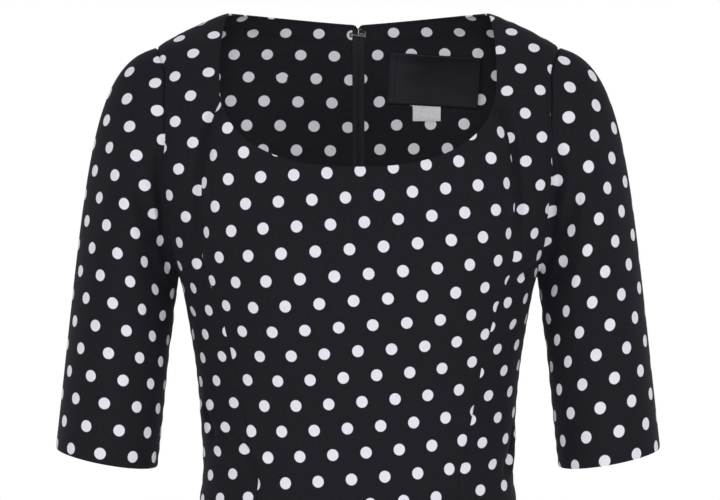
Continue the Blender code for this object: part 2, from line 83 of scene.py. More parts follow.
CAP_FOLD_SPREAD = math.radians(34)
CAP_FOLD_ALONG = 0.20
CAP_FOLD_WIDTH = 0.10
CAP_FOLD_START = 0.05
SLEEVE_LEAD_TOP = (0.065, 0.000, -0.015)
SLEEVE_LEAD_SIDE = (0.052, -0.022, -0.038)
SLEEVE_LEAD_UNDER = (0.009, 0.000, -0.050)
SLEEVE_END_MEAN = 0.172
SLEEVE_END_SWING = 0.092
VENT_TOP_Z = -0.860
VENT_LAP = 0.038
CAD_WALL = 0.0015

SECTION_COLUMNS = ("z", "width", "front", "back", "power")
SECTIONS = (
    (0.000, 0.1245, 0.008, 0.060, 2.6),
    (-0.010, 0.1490, 0.022, 0.067, 2.6),
    (-0.026, 0.1800, 0.040, 0.076, 2.7),
    (-0.033, 0.1900, 0.047, 0.079, 2.7),
    (-0.050, 0.1945, 0.061, 0.086, 2.8),
    (-0.083, 0.1975, 0.081, 0.095, 3.0),
    (-0.130, 0.1970, 0.098, 0.103, 3.0),
    (-0.168, 0.1915, 0.108, 0.106, 2.9),
    (-0.216, 0.1805, 0.117, 0.107, 2.7),
    (-0.250, 0.1695, 0.120, 0.106, 2.5),
    (-0.267, 0.1653, 0.119, 0.105, 2.4),
    (-0.299, 0.1596, 0.113, 0.102, 2.3),
    (-0.336, 0.1539, 0.105, 0.097, 2.2),
    (-0.378, 0.1501, 0.097, 0.092, 2.15),
    (-0.432, 0.1473, 0.091, 0.088, 2.1),
    (-0.461, 0.1506, 0.092, 0.091, 2.1),
    (-0.500, 0.1590, 0.096, 0.100, 2.15),
    (-0.560, 0.1730, 0.104, 0.117, 2.2),
    (-0.640, 0.1850, 0.111, 0.130, 2.25),
    (-0.720, 0.1860, 0.112, 0.129, 2.25),
    (-0.820, 0.1800, 0.110, 0.119, 2.25),
    (-0.940, 0.1715, 0.106, 0.109, 2.25),
    (-1.055, 0.1660, 0.103, 0.104, 2.25),
)
PRINCESS_COLUMNS = ("z", "x")
PRINCESS = (
    (-0.080, 0.1284), (-0.102, 0.1375), (-0.121, 0.1420), (-0.174, 0.1470),
    (-0.216, 0.1470), (-0.242, 0.1425), (-0.263, 0.1345), (-0.312, 0.1205),
    (-0.359, 0.1110), (-0.406, 0.1020), (-0.440, 0.0950), (-0.500, 0.0990),
    (-0.560, 0.1080), (-0.640, 0.1150), (-0.820, 0.1150), (-1.055, 0.1090),
)

# ---- Cloth --------------------------------------------------------------------
CLOTH = 0.0009            # one layer
TURNED_EDGE = 0.0008      # what a turned neckline or hem adds on the inside
TURNED_REACH = 0.022      # how far a turning reaches from its edge
TURNED_STEP = 0.0016
EDGE_ROLL = 0.0006        # how far a turned edge rolls in
EDGE_ROLL_REACH = 0.0012
ROLL_STEPS = (0.0007, 0.0016, 0.0028)
VALLEY_DEPTH = 0.0100     # the soft valley along each upper princess seam
VALLEY_WIDTH = 0.0075
VALLEY_Z = -0.155
VALLEY_HALF = 0.095
VALLEY_STEPS = (0.0045, 0.0063, 0.0082, 0.0102, 0.0125, 0.0150, 0.0180)
TUCK_DEPTH = 0.0013       # a sleeve's edge dips under the body's
TUCK_ROLL = 0.0006
ARM_LAP = 0.015           # and laps it, as a share of the armhole's size
ARM_LAP_DEPTH = 0.00085
DIP_DEPTH = 0.0100        # the sleeve's dip beside the front of the armhole
DIP_REACH = 0.0060
DIP_ANGLE = math.radians(112)
DIP_SPREAD = math.radians(34)
CAP_CLEAR = 0.02          # a sleeve's creases grow over this length from its armhole
NOTCH_DEPTH = 0.0028      # the two backs' corners, rounded off at the top of the zip
NOTCH_REACH = 0.0020
DART_SHARE = 0.52         # the waist dart's place across each back
DART_Z = -0.440
DART_HALF = 0.150
SEAM_GAP = 0.0002
ARM_SEAM_GAP = 0.0004
SEAM_DIP = 0.0007         # a seam's roll, into the dress
SEAM_ROLL = 0.0016        # and its reach from the seam
PUCKER_DEPTH = 0.0003
PUCKER_LENGTH = 0.017
PUCKER_REACH = 0.012
PUCKER_SWAY = 2.2         # how unevenly the puckers follow each other
PUCKER_SWAY_RATE = 37
VENT_CLEAR = 0.0004       # the underlap lies this far under the left back
VENT_SINK_SHARES = (1.0, 0.95, 0.85, 0.7, 0.35, 0.12)
VENT_LAP_STEPS = (0.002, 0.5, 0.97, 1.0)

# Creases of the body: degrees round from centre front (right is +) and height, at both ends;
# half width and depth.
CREASES = (
    (-85, -0.362, -73, -0.412, 0.0050, 0.0045),
    (-66, -0.388, -52, -0.458, 0.0050, 0.0034),
    (-86, -0.424, -60, -0.436, 0.0060, 0.0014),
    (-84, -0.300, -66, -0.286, 0.0065, 0.0016),
    (58, -0.268, 86, -0.236, 0.0055, 0.0042),
    (64, -0.300, 84, -0.306, 0.0060, 0.0012),
    (85, -0.382, 73, -0.446, 0.0050, 0.0042),
    (58, -0.440, 84, -0.430, 0.0065, 0.0014),
    (-8, -0.296, 20, -0.368, 0.0080, 0.0008),
    (-30, -0.455, 12, -0.462, 0.0100, 0.0010),
    (-66, -0.520, -34, -0.548, 0.0120, 0.0018),
    (36, -0.540, 68, -0.512, 0.0120, 0.0018),
    (-44, -0.610, 6, -0.636, 0.0150, 0.0016),
    (8, -0.662, 50, -0.640, 0.0150, 0.0014),
    (100, -0.300, 128, -0.322, 0.0070, 0.0016),
    (-132, -0.318, -102, -0.296, 0.0070, 0.0016),
    (118, -0.402, 172, -0.420, 0.0080, 0.0030),
    (-168, -0.414, -120, -0.398, 0.0080, 0.0028),
    (104, -0.436, 150, -0.452, 0.0070, 0.0024),
    (-158, -0.456, -108, -0.440, 0.0070, 0.0022),
    (124, -0.476, 168, -0.484, 0.0090, 0.0016),
    (-166, -0.488, -130, -0.478, 0.0090, 0.0018),
    (112, -0.700, 146, -0.742, 0.0160, 0.0022),
    (-150, -0.738, -114, -0.704, 0.0160, 0.0022),
    (98, -0.120, 112, -0.230, 0.0080, 0.0024),
    (-112, -0.236, -98, -0.126, 0.0080, 0.0024),
)
CREASE_RADIUS = 0.14      # turns a crease's angle into a length

# Creases of a sleeve: degrees (0 top, 90 front, 180 under the arm) and share of the length
# down it, at both ends; half width and depth.
SLEEVE_CREASES = (
    (150, 0.05, 92, 0.30, 0.0075, 0.0030),
    (160, 0.14, 112, 0.46, 0.0090, 0.0022),
    (168, 0.30, 128, 0.58, 0.0080, 0.0014),
    (204, 0.05, 262, 0.26, 0.0080, 0.0030),
    (196, 0.18, 250, 0.44, 0.0090, 0.0022),
    (118, 0.66, 70, 0.76, 0.0100, 0.0010),
    (300, 0.56, 246, 0.66, 0.0100, 0.0014),
)
SLEEVE_RADIUS = 0.052
SLEEVE_LENGTH = 0.36
CREASE_FOLLOWED = (-0.5, 1.5)     # a crease is followed past its ends, in shares of its length
CREASE_BOW = 0.12
CREASE_MIDDLE = 0.45
CREASE_REACH = 0.36
RIDGE_HEIGHT = 0.45               # of the ridge beside a crease, in shares of its depth
RIDGE_PLACE = 2.1                 # and its place and width, in the crease's half widths
RIDGE_WIDTH = 1.2

# ---- The print ----------------------------------------------------------------
DOT_RADIUS = 0.0055
DOT_ACROSS = 0.0325       # from dot to dot along a row
DOT_ROWS = 0.0239         # from row to row; rows are set half a step apart

# Where the print lies on each piece as worn: one dot's x and z in front view, the
# rows' turn and the columns' lean in degrees, and the steps along a row and from row to row.
PRINT = {
    "front_centre": (-0.004, -0.266, 4.5, 0, 0.0315, 0.0245),
    "front_side_left": (-0.168, -0.1455, 7, 0, 0.0340, 0.0226),
    "front_side_right": (0.171, -0.1605, 2, -4, 0.0340, 0.0226),
    "back_left": (-0.0580, -0.0865, 0, 0, 0.0325, 0.0239),
    "back_right": (0.0205, -0.0865, 0, 1, 0.0325, 0.0239),
    "sleeve_left": (-0.200, -0.1615, 0, 2, 0.0325, 0.0237),
    "sleeve_right": (0.2085, -0.174, 4, -6, 0.0325, 0.0250),
}

# Laying a shaped piece flat
FLAT_STEP = 0.010
SLEEVE_SHOWN = math.radians(50)
SLEEVE_HIDDEN_HOLD = 0.15
FLAT_PASSES = 1500
FLAT_SOFTNESS = 10.0
FLAT_CARRY = 0.95

# ---- Steps of each piece's grid --------------------------------------------------
CENTRE_STEPS = 64
SIDE_STEPS = 26
BACK_STEPS = 52
NECK_STEPS = 22
ARM_STEPS = 60
LOWER_STEPS = 200
SLEEVE_ROUND = 96
SLEEVE_DOWN = 96
CENTRE_WIDTH = 0.27       # rough widths, which place the close steps at the edges
SIDE_WIDTH = 0.09
BACK_WIDTH = 0.19
SLEEVE_GIRTH = 0.33

# ---- Small pieces --------------------------------------------------------------
TRIM_GAP = 0.0004
TRIM_THICKNESS = 0.0010
TRIM_RIM = 0.0008         # reach of a trim's thinner rim
TAPE_LEFT_X = -0.0055
TAPE_RIGHT_X = 0.0062
TAPE_TOP_Z = -0.028
TAPE_LOW_Z = -0.555
TAPE_SHOWN_Z = -0.0155    # the tape's ends run on up to the notch between the backs
TAPE_THICKNESS = 0.0006
TAPE_SEWN_IN = 0.0011
TAPE_COLUMNS = (0.0, 0.03, 0.08, 0.30, 0.47, 0.495, 0.505, 0.53, 0.70, 0.92, 0.97, 1.0)
TAPE_ROWS = 160
TAPE_THINNED = 0.0003     # at its rims, and at the groove between the two tapes
TAPE_GROOVE_SHARE = 0.02
TAPE_RIM_SHARE = 0.03
COIL_PITCH = 0.0015
COIL_OFFSET = 0.0008
LABEL_CENTRE = (0.0735, -0.0650)
LABEL_SIZE = (0.088, 0.050)
LABEL_TURN = math.radians(-3.4)
LABEL_LIFT = 2 * TRIM_GAP + TRIM_THICKNESS
LABEL_THICKNESS = 0.0008
LABEL_RIM_THINNED = 0.0003
LABEL_FOLD = 0.0065       # its short ends are folded under by this much
LABEL_FOLD_RISE = 0.0005
LABEL_FOLD_STEP = 0.0006
LABEL_FOLD_COLUMNS = (-0.010, -0.004, 0.004, 0.010)
LABEL_WAVE = 0.0005
LABEL_WAVE_RATES = (60, 70)
LABEL_WAVE_START = 0.4
LABEL_SEWN_IN = 0.0018
TAG_CENTRE = (0.0665, -0.0910)
TAG_SIZE = (0.027, 0.028)
TAG_THICKNESS = 0.0006
TAG_RIM_THINNED = 0.0002
TAG_SEWN_UP = 0.0035
TAG_FOLD_RISE = 0.0003
TAG_FOLD_REACH = 0.0016
TAG_SEWN_LIFT = 0.0001
TACK_LENGTH = 0.010
TACK_UP = 0.001           # above the top of the vent
HEM_SEWN_IN = 0.001       # hems are sewn this far inside the edge of their turning
COIL_SHORT = 0.004        # the coil and the rows of stitches stop short of their ends
TAPE_SEWN_SHORT = 0.003
LABEL_SEWN_SHORT = 0.003
TAG_SEWN_SHORT = 0.004
HEM_SEWN_TURN = math.pi - 0.06
CUFF_SEWN_TURN = math.pi - 0.05
SLIDER_Z = -0.031
SLIDER_LIFT = 0.0006
EAR_X = 0.0021
PIN_PLACE = (-0.0030, 0.0037)      # down the zip and out of the cloth, from the slider's middle
PIN_RADIUS = 0.0005

# Rounded bars: place down the zip, half width, half height, height of the middle.
SLIDER_STATIONS = (
    (-0.0045, 0.0014, 0.0003, 0.0008),
    (-0.0043, 0.0020, 0.0006, 0.0008),
    (-0.0037, 0.0025, 0.0008, 0.0008),
    (-0.0010, 0.0026, 0.0008, 0.0008),
    (0.0015, 0.0023, 0.0008, 0.0008),
    (0.0036, 0.0017, 0.0007, 0.0008),
    (0.0043, 0.0013, 0.0005, 0.0008),
    (0.0045, 0.0008, 0.0003, 0.0008),
)
EAR_STATIONS = (
    (-0.0045, 0.0003, 0.0008, 0.0022),
    (-0.0042, 0.0005, 0.0012, 0.0026),
    (-0.0036, 0.0005, 0.0015, 0.0029),
    (-0.0024, 0.0005, 0.0015, 0.0029),
    (-0.0018, 0.0005, 0.0012, 0.0026),
    (-0.0015, 0.0003, 0.0008, 0.0022),
)
BLADE_STATIONS = (
    (0.0010, 0.0009, 0.0003, 0.0),
    (0.0014, 0.0012, 0.00045, 0.0),
    (0.0050, 0.0011, 0.00045, 0.0),
    (0.0080, 0.0012, 0.00048, 0.0),
    (0.0098, 0.0017, 0.00055, 0.0),
    (0.0125, 0.0019, 0.00055, 0.0),
    (0.0152, 0.0017, 0.00055, 0.0),
    (0.0165, 0.0011, 0.00045, 0.0),
    (0.0170, 0.0005, 0.0002, 0.0),
)
BLADE_PAD_STATIONS = (
    (0.0106, 0.0005, 0.0004, 0.0),
    (0.0110, 0.0009, 0.0007, 0.0),
    (0.0142, 0.0009, 0.0007, 0.0),
    (0.0146, 0.0005, 0.0004, 0.0),
)
# The pull's ring round the pin: place across and radius, once round its section.
PULL_RING = ((-0.0012, 0.00100), (-0.0010, 0.00085), (0.0010, 0.00085), (0.0012, 0.00100),
             (0.0012, 0.00122), (0.0010, 0.00140), (-0.0010, 0.00140), (-0.0012, 0.00122))

HOOK_Z = -0.0205
HOOK_LIFT = 0.0013
WIRE_RADIUS = 0.0003
WIRE_DOME = ((0.9, 0.5), (0.5, 0.85))     # reach past a wire's end and width, in its radius
FOOT_RADIUS = 0.0009
EYE_FEET = ((0.0070, -0.0021), (0.0070, 0.0021))
EYE_LOOP = (0.00136, 0.0)
EYE_LOOP_RADIUS = 0.0012
HOOK_FEET = ((-0.0070, -0.0013), (-0.0070, 0.0013))
HOOK_HALF = 0.0004                # half the space between the hook's two wires
HOOK_TIP_HALF = 0.00025
# The hook's wire from its feet to its tip: place across, and lift off the cloth.
HOOK_SHANK = ((-0.0050, 0.0), (-0.0030, 0.0), (-0.0024, 0.0003), (-0.0018, 0.0009),
              (-0.0012, 0.0012), (0.0004, 0.0012), (0.0014, 0.0012))
HOOK_TIP = ((0.0019, 0.0011), (0.0021, 0.00096))

# Rows of thread: material slot, spacing, length, radius, rise, slant, unevenness.
ACROSS = math.pi / 2
STITCHES = {
    "zip_coil": ("zip_tape", COIL_PITCH, 0.0023, 0.00032, 0.0012, ACROSS, 0.0),
    "tape_stitches": ("zip_tape", 0.0030, 0.0023, 0.00016, 0.0003, 0.0, 0.10),
    "label_stitches": ("label_cloth", 0.0028, 0.0021, 0.00015, 0.0003, 0.0, 0.10),
    "tag_stitches": ("tag_cloth", 0.0026, 0.0020, 0.00014, 0.0003, 0.0, 0.10),
    "hem_stitches": ("dress_cloth", 0.0085, 0.0042, 0.00016, 0.0006, 0.6, 0.10),
    "cuff_stitches": ("dress_cloth", 0.0070, 0.0036, 0.00015, 0.0006, 0.6, 0.10),
    "vent_bar_tack": ("dress_cloth", 0.0005, 0.0026, 0.00018, 0.0006, ACROSS, 0.10),
    "hook_thread": ("dress_cloth", 0.00045, 0.0013, 0.00012, 0.0009, ACROSS, 0.35),
}
THREAD_SIZES = ("Spacing", "Length", "Radius", "Rise", "Slant", "Unevenness")
THREAD_SEED = 3

# ---- Finishes -------------------------------------------------------------------
CLOTH_OUTSIDE = ((0.0103, 0.0101, 0.0141), (0.755, 0.745, 0.82))      # ground and dots
# The inside's ground and dots are painted lighter than the outside's: painted light for the lamps' light
# that falls inside through the neck.
CLOTH_INSIDE_WITH_PAINTED_LIGHT = ((0.0165, 0.0160, 0.0208), (0.88, 0.875, 0.94))
CLOTH_RIB = 0.00062       # from rib to rib
CLOTH_WARP = 0.00048      # from thread to thread across the ribs
CLOTH_SLUB = 240.0
DOT_GRAIN = 1800.0
DOT_FRAY = 0.0007         # how far the threads break up a dot's edge
DOT_BLUR = 0.00035
# The label's left end is painted paler: a painted sheen, where its satin would catch the light.
LABEL_PAINTED_SHEEN = (0.0150, 0.0145, 0.0245)
LABEL_DEEP = (0.0060, 0.0060, 0.0085)
LABEL_THREAD = (0.0135, 0.0133, 0.0190)
LABEL_RIB = 0.00045
LABEL_FLOATS = (0.08, 1.0, 1.0)   # the satin's floats are long across the label
LABEL_PAINTED_SHEEN_RUN = (0.42, 0.08)    # where the painted sheen fades out, left of the middle, in label widths
THREAD_TWIST = 0.00035
FLOOR_TONES = (0.86, 0.90)

# ---- Picture --------------------------------------------------------------------
PHOTO_WIDTH_PX = 720
METRES_PER_PX = 0.00095
PHOTO_CENTRE_PX = (360, 250)
DRESS_CENTRE_PX = (358, 13)       # where the origin shows in the frame
CAMERA_DISTANCE = 5.0
CAMERA_LIFT = math.radians(3.0)
SENSOR_WIDTH = 36.0
CHEST = (0, 0, -0.25)
LAMPS = (                         # name, place, size, power
    ("front_box", (0.1, -5.6, 1.2), (2.0, 2.0), 152),
    ("left_box", (-3.7, -3.0, 0.5), (1.6, 2.4), 54),
    ("right_box", (3.7, -3.0, 0.5), (1.6, 2.4), 60),
)
ROOM_LIGHT = 0.22                 # in front; the surround brightens to 1 behind the dress
ROOM_FADE = (-0.3, 0.6)
FLOOR_RADIUS = 2.2
FLOOR_DROP = 0.12                 # the dress is held at its shoulders, clear of the floor
LEFT, RIGHT = -1, 1
PROBE = 2e-4                      # the small step that finds a surface's direction


# ---- Curves and directions -----------------------------------------------------------
def bell(off, width=1.0, power=2):
    """1 in the middle, falling smoothly to 0 either side."""
    return np.exp(-(off / width) ** power)


def step_down(off, step):
    """1 before a place and 0 past it, over a short step."""
    return 0.5 - 0.5 * np.tanh(off / step)


def turned_from(angle, middle):
    """How far an angle is from another, within half a turn either way."""
    return np.angle(np.exp(1j * (angle - middle)))


def unit(vectors):
    return vectors / np.linalg.norm(vectors, axis=-1, keepdims=True)


def out_of(surface, a, b):
    """Direction out of a surface at a place given by two numbers."""
    along_a = surface(a + PROBE, b) - surface(a - PROBE, b)
    along_b = surface(a, b + PROBE) - surface(a, b - PROBE)
    return unit(np.cross(along_a, along_b))


def smooth_column(table, columns, name, z):
    """One column of a table at heights z, on a smooth curve that never overshoots."""
    rows = np.array(sorted(table))
    heights = rows[:, 0]
    values = rows[:, columns.index(name)]
    step = np.diff(heights)
    slope = np.diff(values) / step
    tangent = np.zeros_like(values)
    same_way = slope[:-1] * slope[1:] > 0
    mean = 2 * slope[:-1] * slope[1:] / np.where(same_way, slope[:-1] + slope[1:], 1)
    tangent[1:-1] = np.where(same_way, mean, 0)
    tangent[0], tangent[-1] = slope[0], slope[-1]
    low = np.clip(np.searchsorted(heights, z) - 1, 0, len(step) - 1)
    t = (z - heights[low]) / step[low]
    return ((2 * t ** 3 - 3 * t ** 2 + 1) * values[low]
            + (t ** 3 - 2 * t ** 2 + t) * step[low] * tangent[low]
            + (3 * t ** 2 - 2 * t ** 3) * values[low + 1]
            + (t ** 3 - t ** 2) * step[low] * tangent[low + 1])


# ---- The worn form ---------------------------------------------------------------------
def section(name, z):
    return smooth_column(SECTIONS, SECTION_COLUMNS, name, z)


def princess_x(z):
    return smooth_column(PRINCESS, PRINCESS_COLUMNS, "x", z)


def body_point(turn, z):
    """Point of the dress body; turn runs from 0 at centre front round to pi at centre back."""
    turn = np.asarray(turn, float)
    z = np.asarray(z, float)
    width = section("width", z)
    depth = np.where(np.cos(turn) >= 0, section("front", z), section("back", z))
    power = section("power", z)
    across = np.abs(np.sin(turn) / width) ** power
    along = np.abs(np.cos(turn) / depth) ** power
    reach = (across + along) ** (-1 / power)
    x = reach * np.sin(turn)
    y = -reach * np.cos(turn)
    out = np.abs(x)
    bust_width = np.where(out < BUST_X, BUST_SPREAD_IN, BUST_SPREAD_OUT)
    bust = BUST_FULLNESS * bell(out - BUST_X, bust_width) * bell(z - BUST_Z, BUST_SPREAD_Z)
    hollow = HOLLOW_DEPTH * bell(out - HOLLOW_X, HOLLOW_SPREAD_X) * bell(z - HOLLOW_Z, HOLLOW_SPREAD_Z)
    fade = np.where(np.cos(turn) > 0, 1 - np.minimum(out / width, 1) ** SIDE_FADE_POWER, 0)
    y = y - fade * (bust - hollow)
    return np.stack(np.broadcast_arrays(x, y, z), axis=-1)


def body_normal(turn, z):
    return out_of(body_point, turn, z)


def turn_at_x(x, z, back=False):
    """Turn of the body's point at a distance x from the centre line."""
    width = section("width", z)
    depth = section("back" if back else "front", z)
    power = section("power", z)
    part = np.clip(1 - np.abs(x / width) ** power, 0, 1)
    turn = np.arctan2(np.abs(x), depth * part ** (1 / power))
    return np.copysign(math.pi - turn if back else turn, x)


def armhole(angle):
    """Turn and height of the right armhole; angle is 0 at the shoulder, a quarter at the front."""
    angle = np.asarray(angle, float)
    z = ARM_MIDDLE_Z + (ARM_TOP_Z - ARM_LOW_Z) / 2 * np.cos(angle)
    front = np.sin(angle) >= 0
    reach = np.where(front, ARM_FRONT, ARM_BACK) * np.abs(np.sin(angle))
    depth = np.where(front, section("front", z), section("back", z))
    power = section("power", z)
    x = section("width", z) * (1 - (reach / depth) ** power) ** (1 / power)
    turn = np.arctan2(x, reach)
    return np.where(front, turn, math.pi - turn), z


def front_neck_x(z):
    """Distance of the front neckline from the centre line, beside the neck."""
    lean = (NECK_SIDE_X - NECK_POINT_X) * ((z + NECK_LEAN_RUN) / NECK_LEAN_RUN) ** 2
    scoop = np.clip((NECK_SIDE_Z - z) / (NECK_SIDE_Z - NECK_LOW_Z), 0, 1)
    return np.where(z > NECK_SIDE_Z, NECK_SIDE_X - lean,
                    NECK_SIDE_X * (1 - scoop ** NECK_POWER) ** (1 / NECK_POWER))


def sleeve_point(angle, along):
    """Point of the right sleeve: angle round it, along from the armhole (0) to the hem (1)."""
    angle = np.asarray(angle, float)[..., None]
    along = np.asarray(along, float)[..., None]
    start = body_point(*armhole(angle[..., 0])) + np.array((ARM_SEAM_GAP, 0, 0))
    cos, sin = np.cos(angle), np.sin(angle)
    top, under = ((1 + cos) / 2) ** 2, ((1 - cos) / 2) ** 2
    lead_side = np.array(SLEEVE_LEAD_SIDE) * np.concatenate([abs(sin), sin, abs(sin)], axis=-1)
    lead = (top * np.array(SLEEVE_LEAD_TOP) + under * np.array(SLEEVE_LEAD_UNDER)
            + (1 - top - under) * lead_side)
    across = np.array((math.cos(CUFF_TILT), 0, math.sin(CUFF_TILT)))
    end = (np.array(CUFF_CENTRE) + CUFF_HALF_WIDTH * cos * across
           + np.array((0, -CUFF_HALF_DEPTH, -CUFF_FRONT_DIP)) * sin)
    up = np.array((-math.sin(SLEEVE_TILT), 0, math.cos(SLEEVE_TILT)))
    reach = SLEEVE_END_MEAN + SLEEVE_END_SWING * cos
    rest = 1 - along
    point = (rest ** 3 * start + 3 * rest ** 2 * along * (start + lead)
             + 3 * rest * along ** 2 * (end + reach * up) + along ** 3 * end)
    fold = (CAP_FOLD_DEPTH * bell(turned_from(angle, CAP_FOLD_TURN), CAP_FOLD_SPREAD)
            * bell(along - CAP_FOLD_ALONG, CAP_FOLD_WIDTH))
    return point + fold * np.array(CAP_FOLD_WAY) * np.minimum(along / CAP_FOLD_START, 1)


def sleeve_normal(angle, along):
    return out_of(sleeve_point, angle, along)


# ---- Creases and seams ---------------------------------------------------------
def crease_offset(rows, across, along, scale_across, scale_along):
    """How far the creases push the cloth in: soft troughs with a low ridge beside each."""
    total = np.zeros(np.broadcast(across, along).shape)
    for across_a, along_a, across_b, along_b, width, depth in rows:
        start = np.array((math.radians(across_a) * scale_across, along_a * scale_along))
        end = np.array((math.radians(across_b) * scale_across, along_b * scale_along))
        length = np.linalg.norm(end - start)
        run = (end - start) / length
        du, dv = across * scale_across - start[0], along * scale_along - start[1]
        share = np.clip((du * run[0] + dv * run[1]) / length, *CREASE_FOLLOWED)
        bow = CREASE_BOW * length * np.sin(math.pi * np.clip(share, 0, 1))
        off = (-du * run[1] + dv * run[0] - bow) / width
        trough = bell(off) - RIDGE_HEIGHT * bell(off - RIDGE_PLACE, RIDGE_WIDTH)
        total = total + depth * bell(share - CREASE_MIDDLE, CREASE_REACH, 4) * trough
    return total


def seam_valley(points):
    """Points moved back where the cloth dips along the upper princess seams."""
    moved = points.copy()
    x, y, z = np.moveaxis(points, -1, 0)
    off = np.abs(x) - princess_x(np.clip(z, HEM_Z, PRINCESS_TOP_Z))
    swell = bell(z - VALLEY_Z, VALLEY_HALF, 4) * bell(off, VALLEY_WIDTH)
    moved[..., 1] += np.where(y < 0, VALLEY_DEPTH * swell, 0)
    return moved


def lengths_along(points, axis):
    """Running length along one axis of a grid of points."""
    step = np.linalg.norm(np.diff(points, axis=axis), axis=-1)
    zero = np.zeros_like(np.take(step, [0], axis=axis))
    return np.concatenate([zero, np.cumsum(step, axis=axis)], axis=axis)


def edge_distances(points):
    """Distance of each grid point from the top, bottom, left and right edges."""
    down = lengths_along(points, 0)
    across = lengths_along(points, 1)
    return {"top": down, "bottom": down[-1:] - down, "left": across, "right": across[:, -1:] - across}


def from_column(lengths, column):
    """Lengths across a grid, counted from one of its columns."""
    return lengths - lengths[:, column:column + 1]


def seam_roll(distance, along):
    """Dip of the cloth beside a seam, with uneven puckers along it."""
    sway = PUCKER_SWAY * np.sin(along * PUCKER_SWAY_RATE)
    pucker = PUCKER_DEPTH * np.sin(2 * math.pi * along / PUCKER_LENGTH + sway)
    return SEAM_DIP * bell(distance, SEAM_ROLL) + pucker * bell(distance, PUCKER_REACH)


def turned(distance):
    """1 where an edge's turning backs the cloth, falling to 0 past its reach."""
    return step_down(distance - TURNED_REACH, TURNED_STEP)


def dense_edges(count, width, more=()):
    """Shares across a piece: even steps, with close ones where its edges roll."""
    near = np.array(ROLL_STEPS + tuple(more)) / width
    return np.unique(np.concatenate([np.linspace(0, 1, count + 1), near, 1 - near]))


def draw_in(points, gap):
    """A grid of points with its rim drawn in by half a seam's gap."""
    moved = points.copy()
    for axis in (0, 1):
        rows = np.swapaxes(points, 0, axis)
        target = np.swapaxes(moved, 0, axis)
        for edge, inner in ((0, 1), (-1, -2)):
            along = unit(np.gradient(rows[edge], axis=0))
            inward = rows[inner] - rows[edge]
            inward = inward - np.sum(inward * along, axis=-1, keepdims=True) * along
            target[edge] = target[edge] + unit(inward) * gap / 2
    return moved


# ---- Meshes --------------------------------------------------------------------
def grid_quads(rows, columns):
    """Corner numbers of a grid's quads, for rows and columns of points."""
    first = (np.arange(rows - 1)[:, None] * columns + np.arange(columns - 1)).ravel()
    return np.stack([first, first + columns, first + columns + 1, first + 1], axis=1)


def open_edges(quads):
    """Edges used by one quad only, each in its quad's direction."""
    pairs = np.concatenate([quads[:, [i, (i + 1) % 4]] for i in range(4)])
    low, high = pairs.min(axis=1), pairs.max(axis=1)
    key = low.astype(np.int64) * (quads.max() + 1) + high
    _, first, count = np.unique(key, return_index=True, return_counts=True)
    return pairs[first[count == 1]]


def add_object(name, data):
    made = bpy.data.objects.new(name, data)
    bpy.context.scene.collection.objects.link(made)
    return made


def smooth_but_sharp(mesh, angle):
    mesh.shade_smooth()
    mesh.set_sharp_from_angle(angle=math.radians(angle))


def declare(piece, node, body="dress"):
    """Hang a piece on its body's empty, and hide the plain node that it stands for."""
    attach(piece, body)
    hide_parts(node)


def cloth_object(name, outer, inner, cut, quads, outside, inside):
    """Closed thin shell: outer and inner skins with a rim, and the print's map in metres."""
    outer, inner, cut = (grid.reshape(-1, grid.shape[-1]) for grid in (outer, inner, cut))
    count = len(outer)
    rim = open_edges(quads)
    rim_quads = np.stack([rim[:, 1], rim[:, 0], rim[:, 0] + count, rim[:, 1] + count], axis=1)
    faces = np.concatenate([quads, quads[:, ::-1] + count, rim_quads])
    mesh = bpy.data.meshes.new(name)
    mesh.vertices.add(2 * count)
    mesh.vertices.foreach_set("co", np.concatenate([outer, inner]).ravel())
    mesh.loops.add(4 * len(faces))
    mesh.loops.foreach_set("vertex_index", faces.ravel())
    mesh.polygons.add(len(faces))
    mesh.polygons.foreach_set("loop_start", np.arange(0, 4 * len(faces), 4))
    mesh.materials.append(outside)
    mesh.materials.append(inside)
    skin = np.zeros(len(faces), int)
    skin[len(quads):2 * len(quads)] = 1
    mesh.polygons.foreach_set("material_index", skin)
    layer = mesh.uv_layers.new(name="Cut")
    layer.data.foreach_set("uv", np.concatenate([cut, cut])[faces.ravel()].ravel())
    mesh.update(calc_edges=True)
    mesh.validate()
    smooth_but_sharp(mesh, 60)
    return add_object(name, mesh)


# ---- The flat cut, and the print on it ---------------------------------------------
def even_picks(lengths):
    """Numbers of the points that lie about one step apart along a line."""
    count = max(round(lengths[-1] / FLAT_STEP), 4)
    return np.unique(np.abs(lengths[:, None] - np.linspace(0, lengths[-1], count + 1)).argmin(axis=0))


def spread(values, picks, lengths):
    """Values known at some points of a line, drawn out evenly to every point between them."""
    low = np.clip(np.searchsorted(lengths[picks], lengths, side="right") - 1, 0, len(picks) - 2)
    at = lengths[picks]
    share = (lengths - at[low]) / (at[low + 1] - at[low])
    share = share.reshape(-1, *([1] * (values.ndim - 1)))
    return values[low] * (1 - share) + values[low + 1] * share


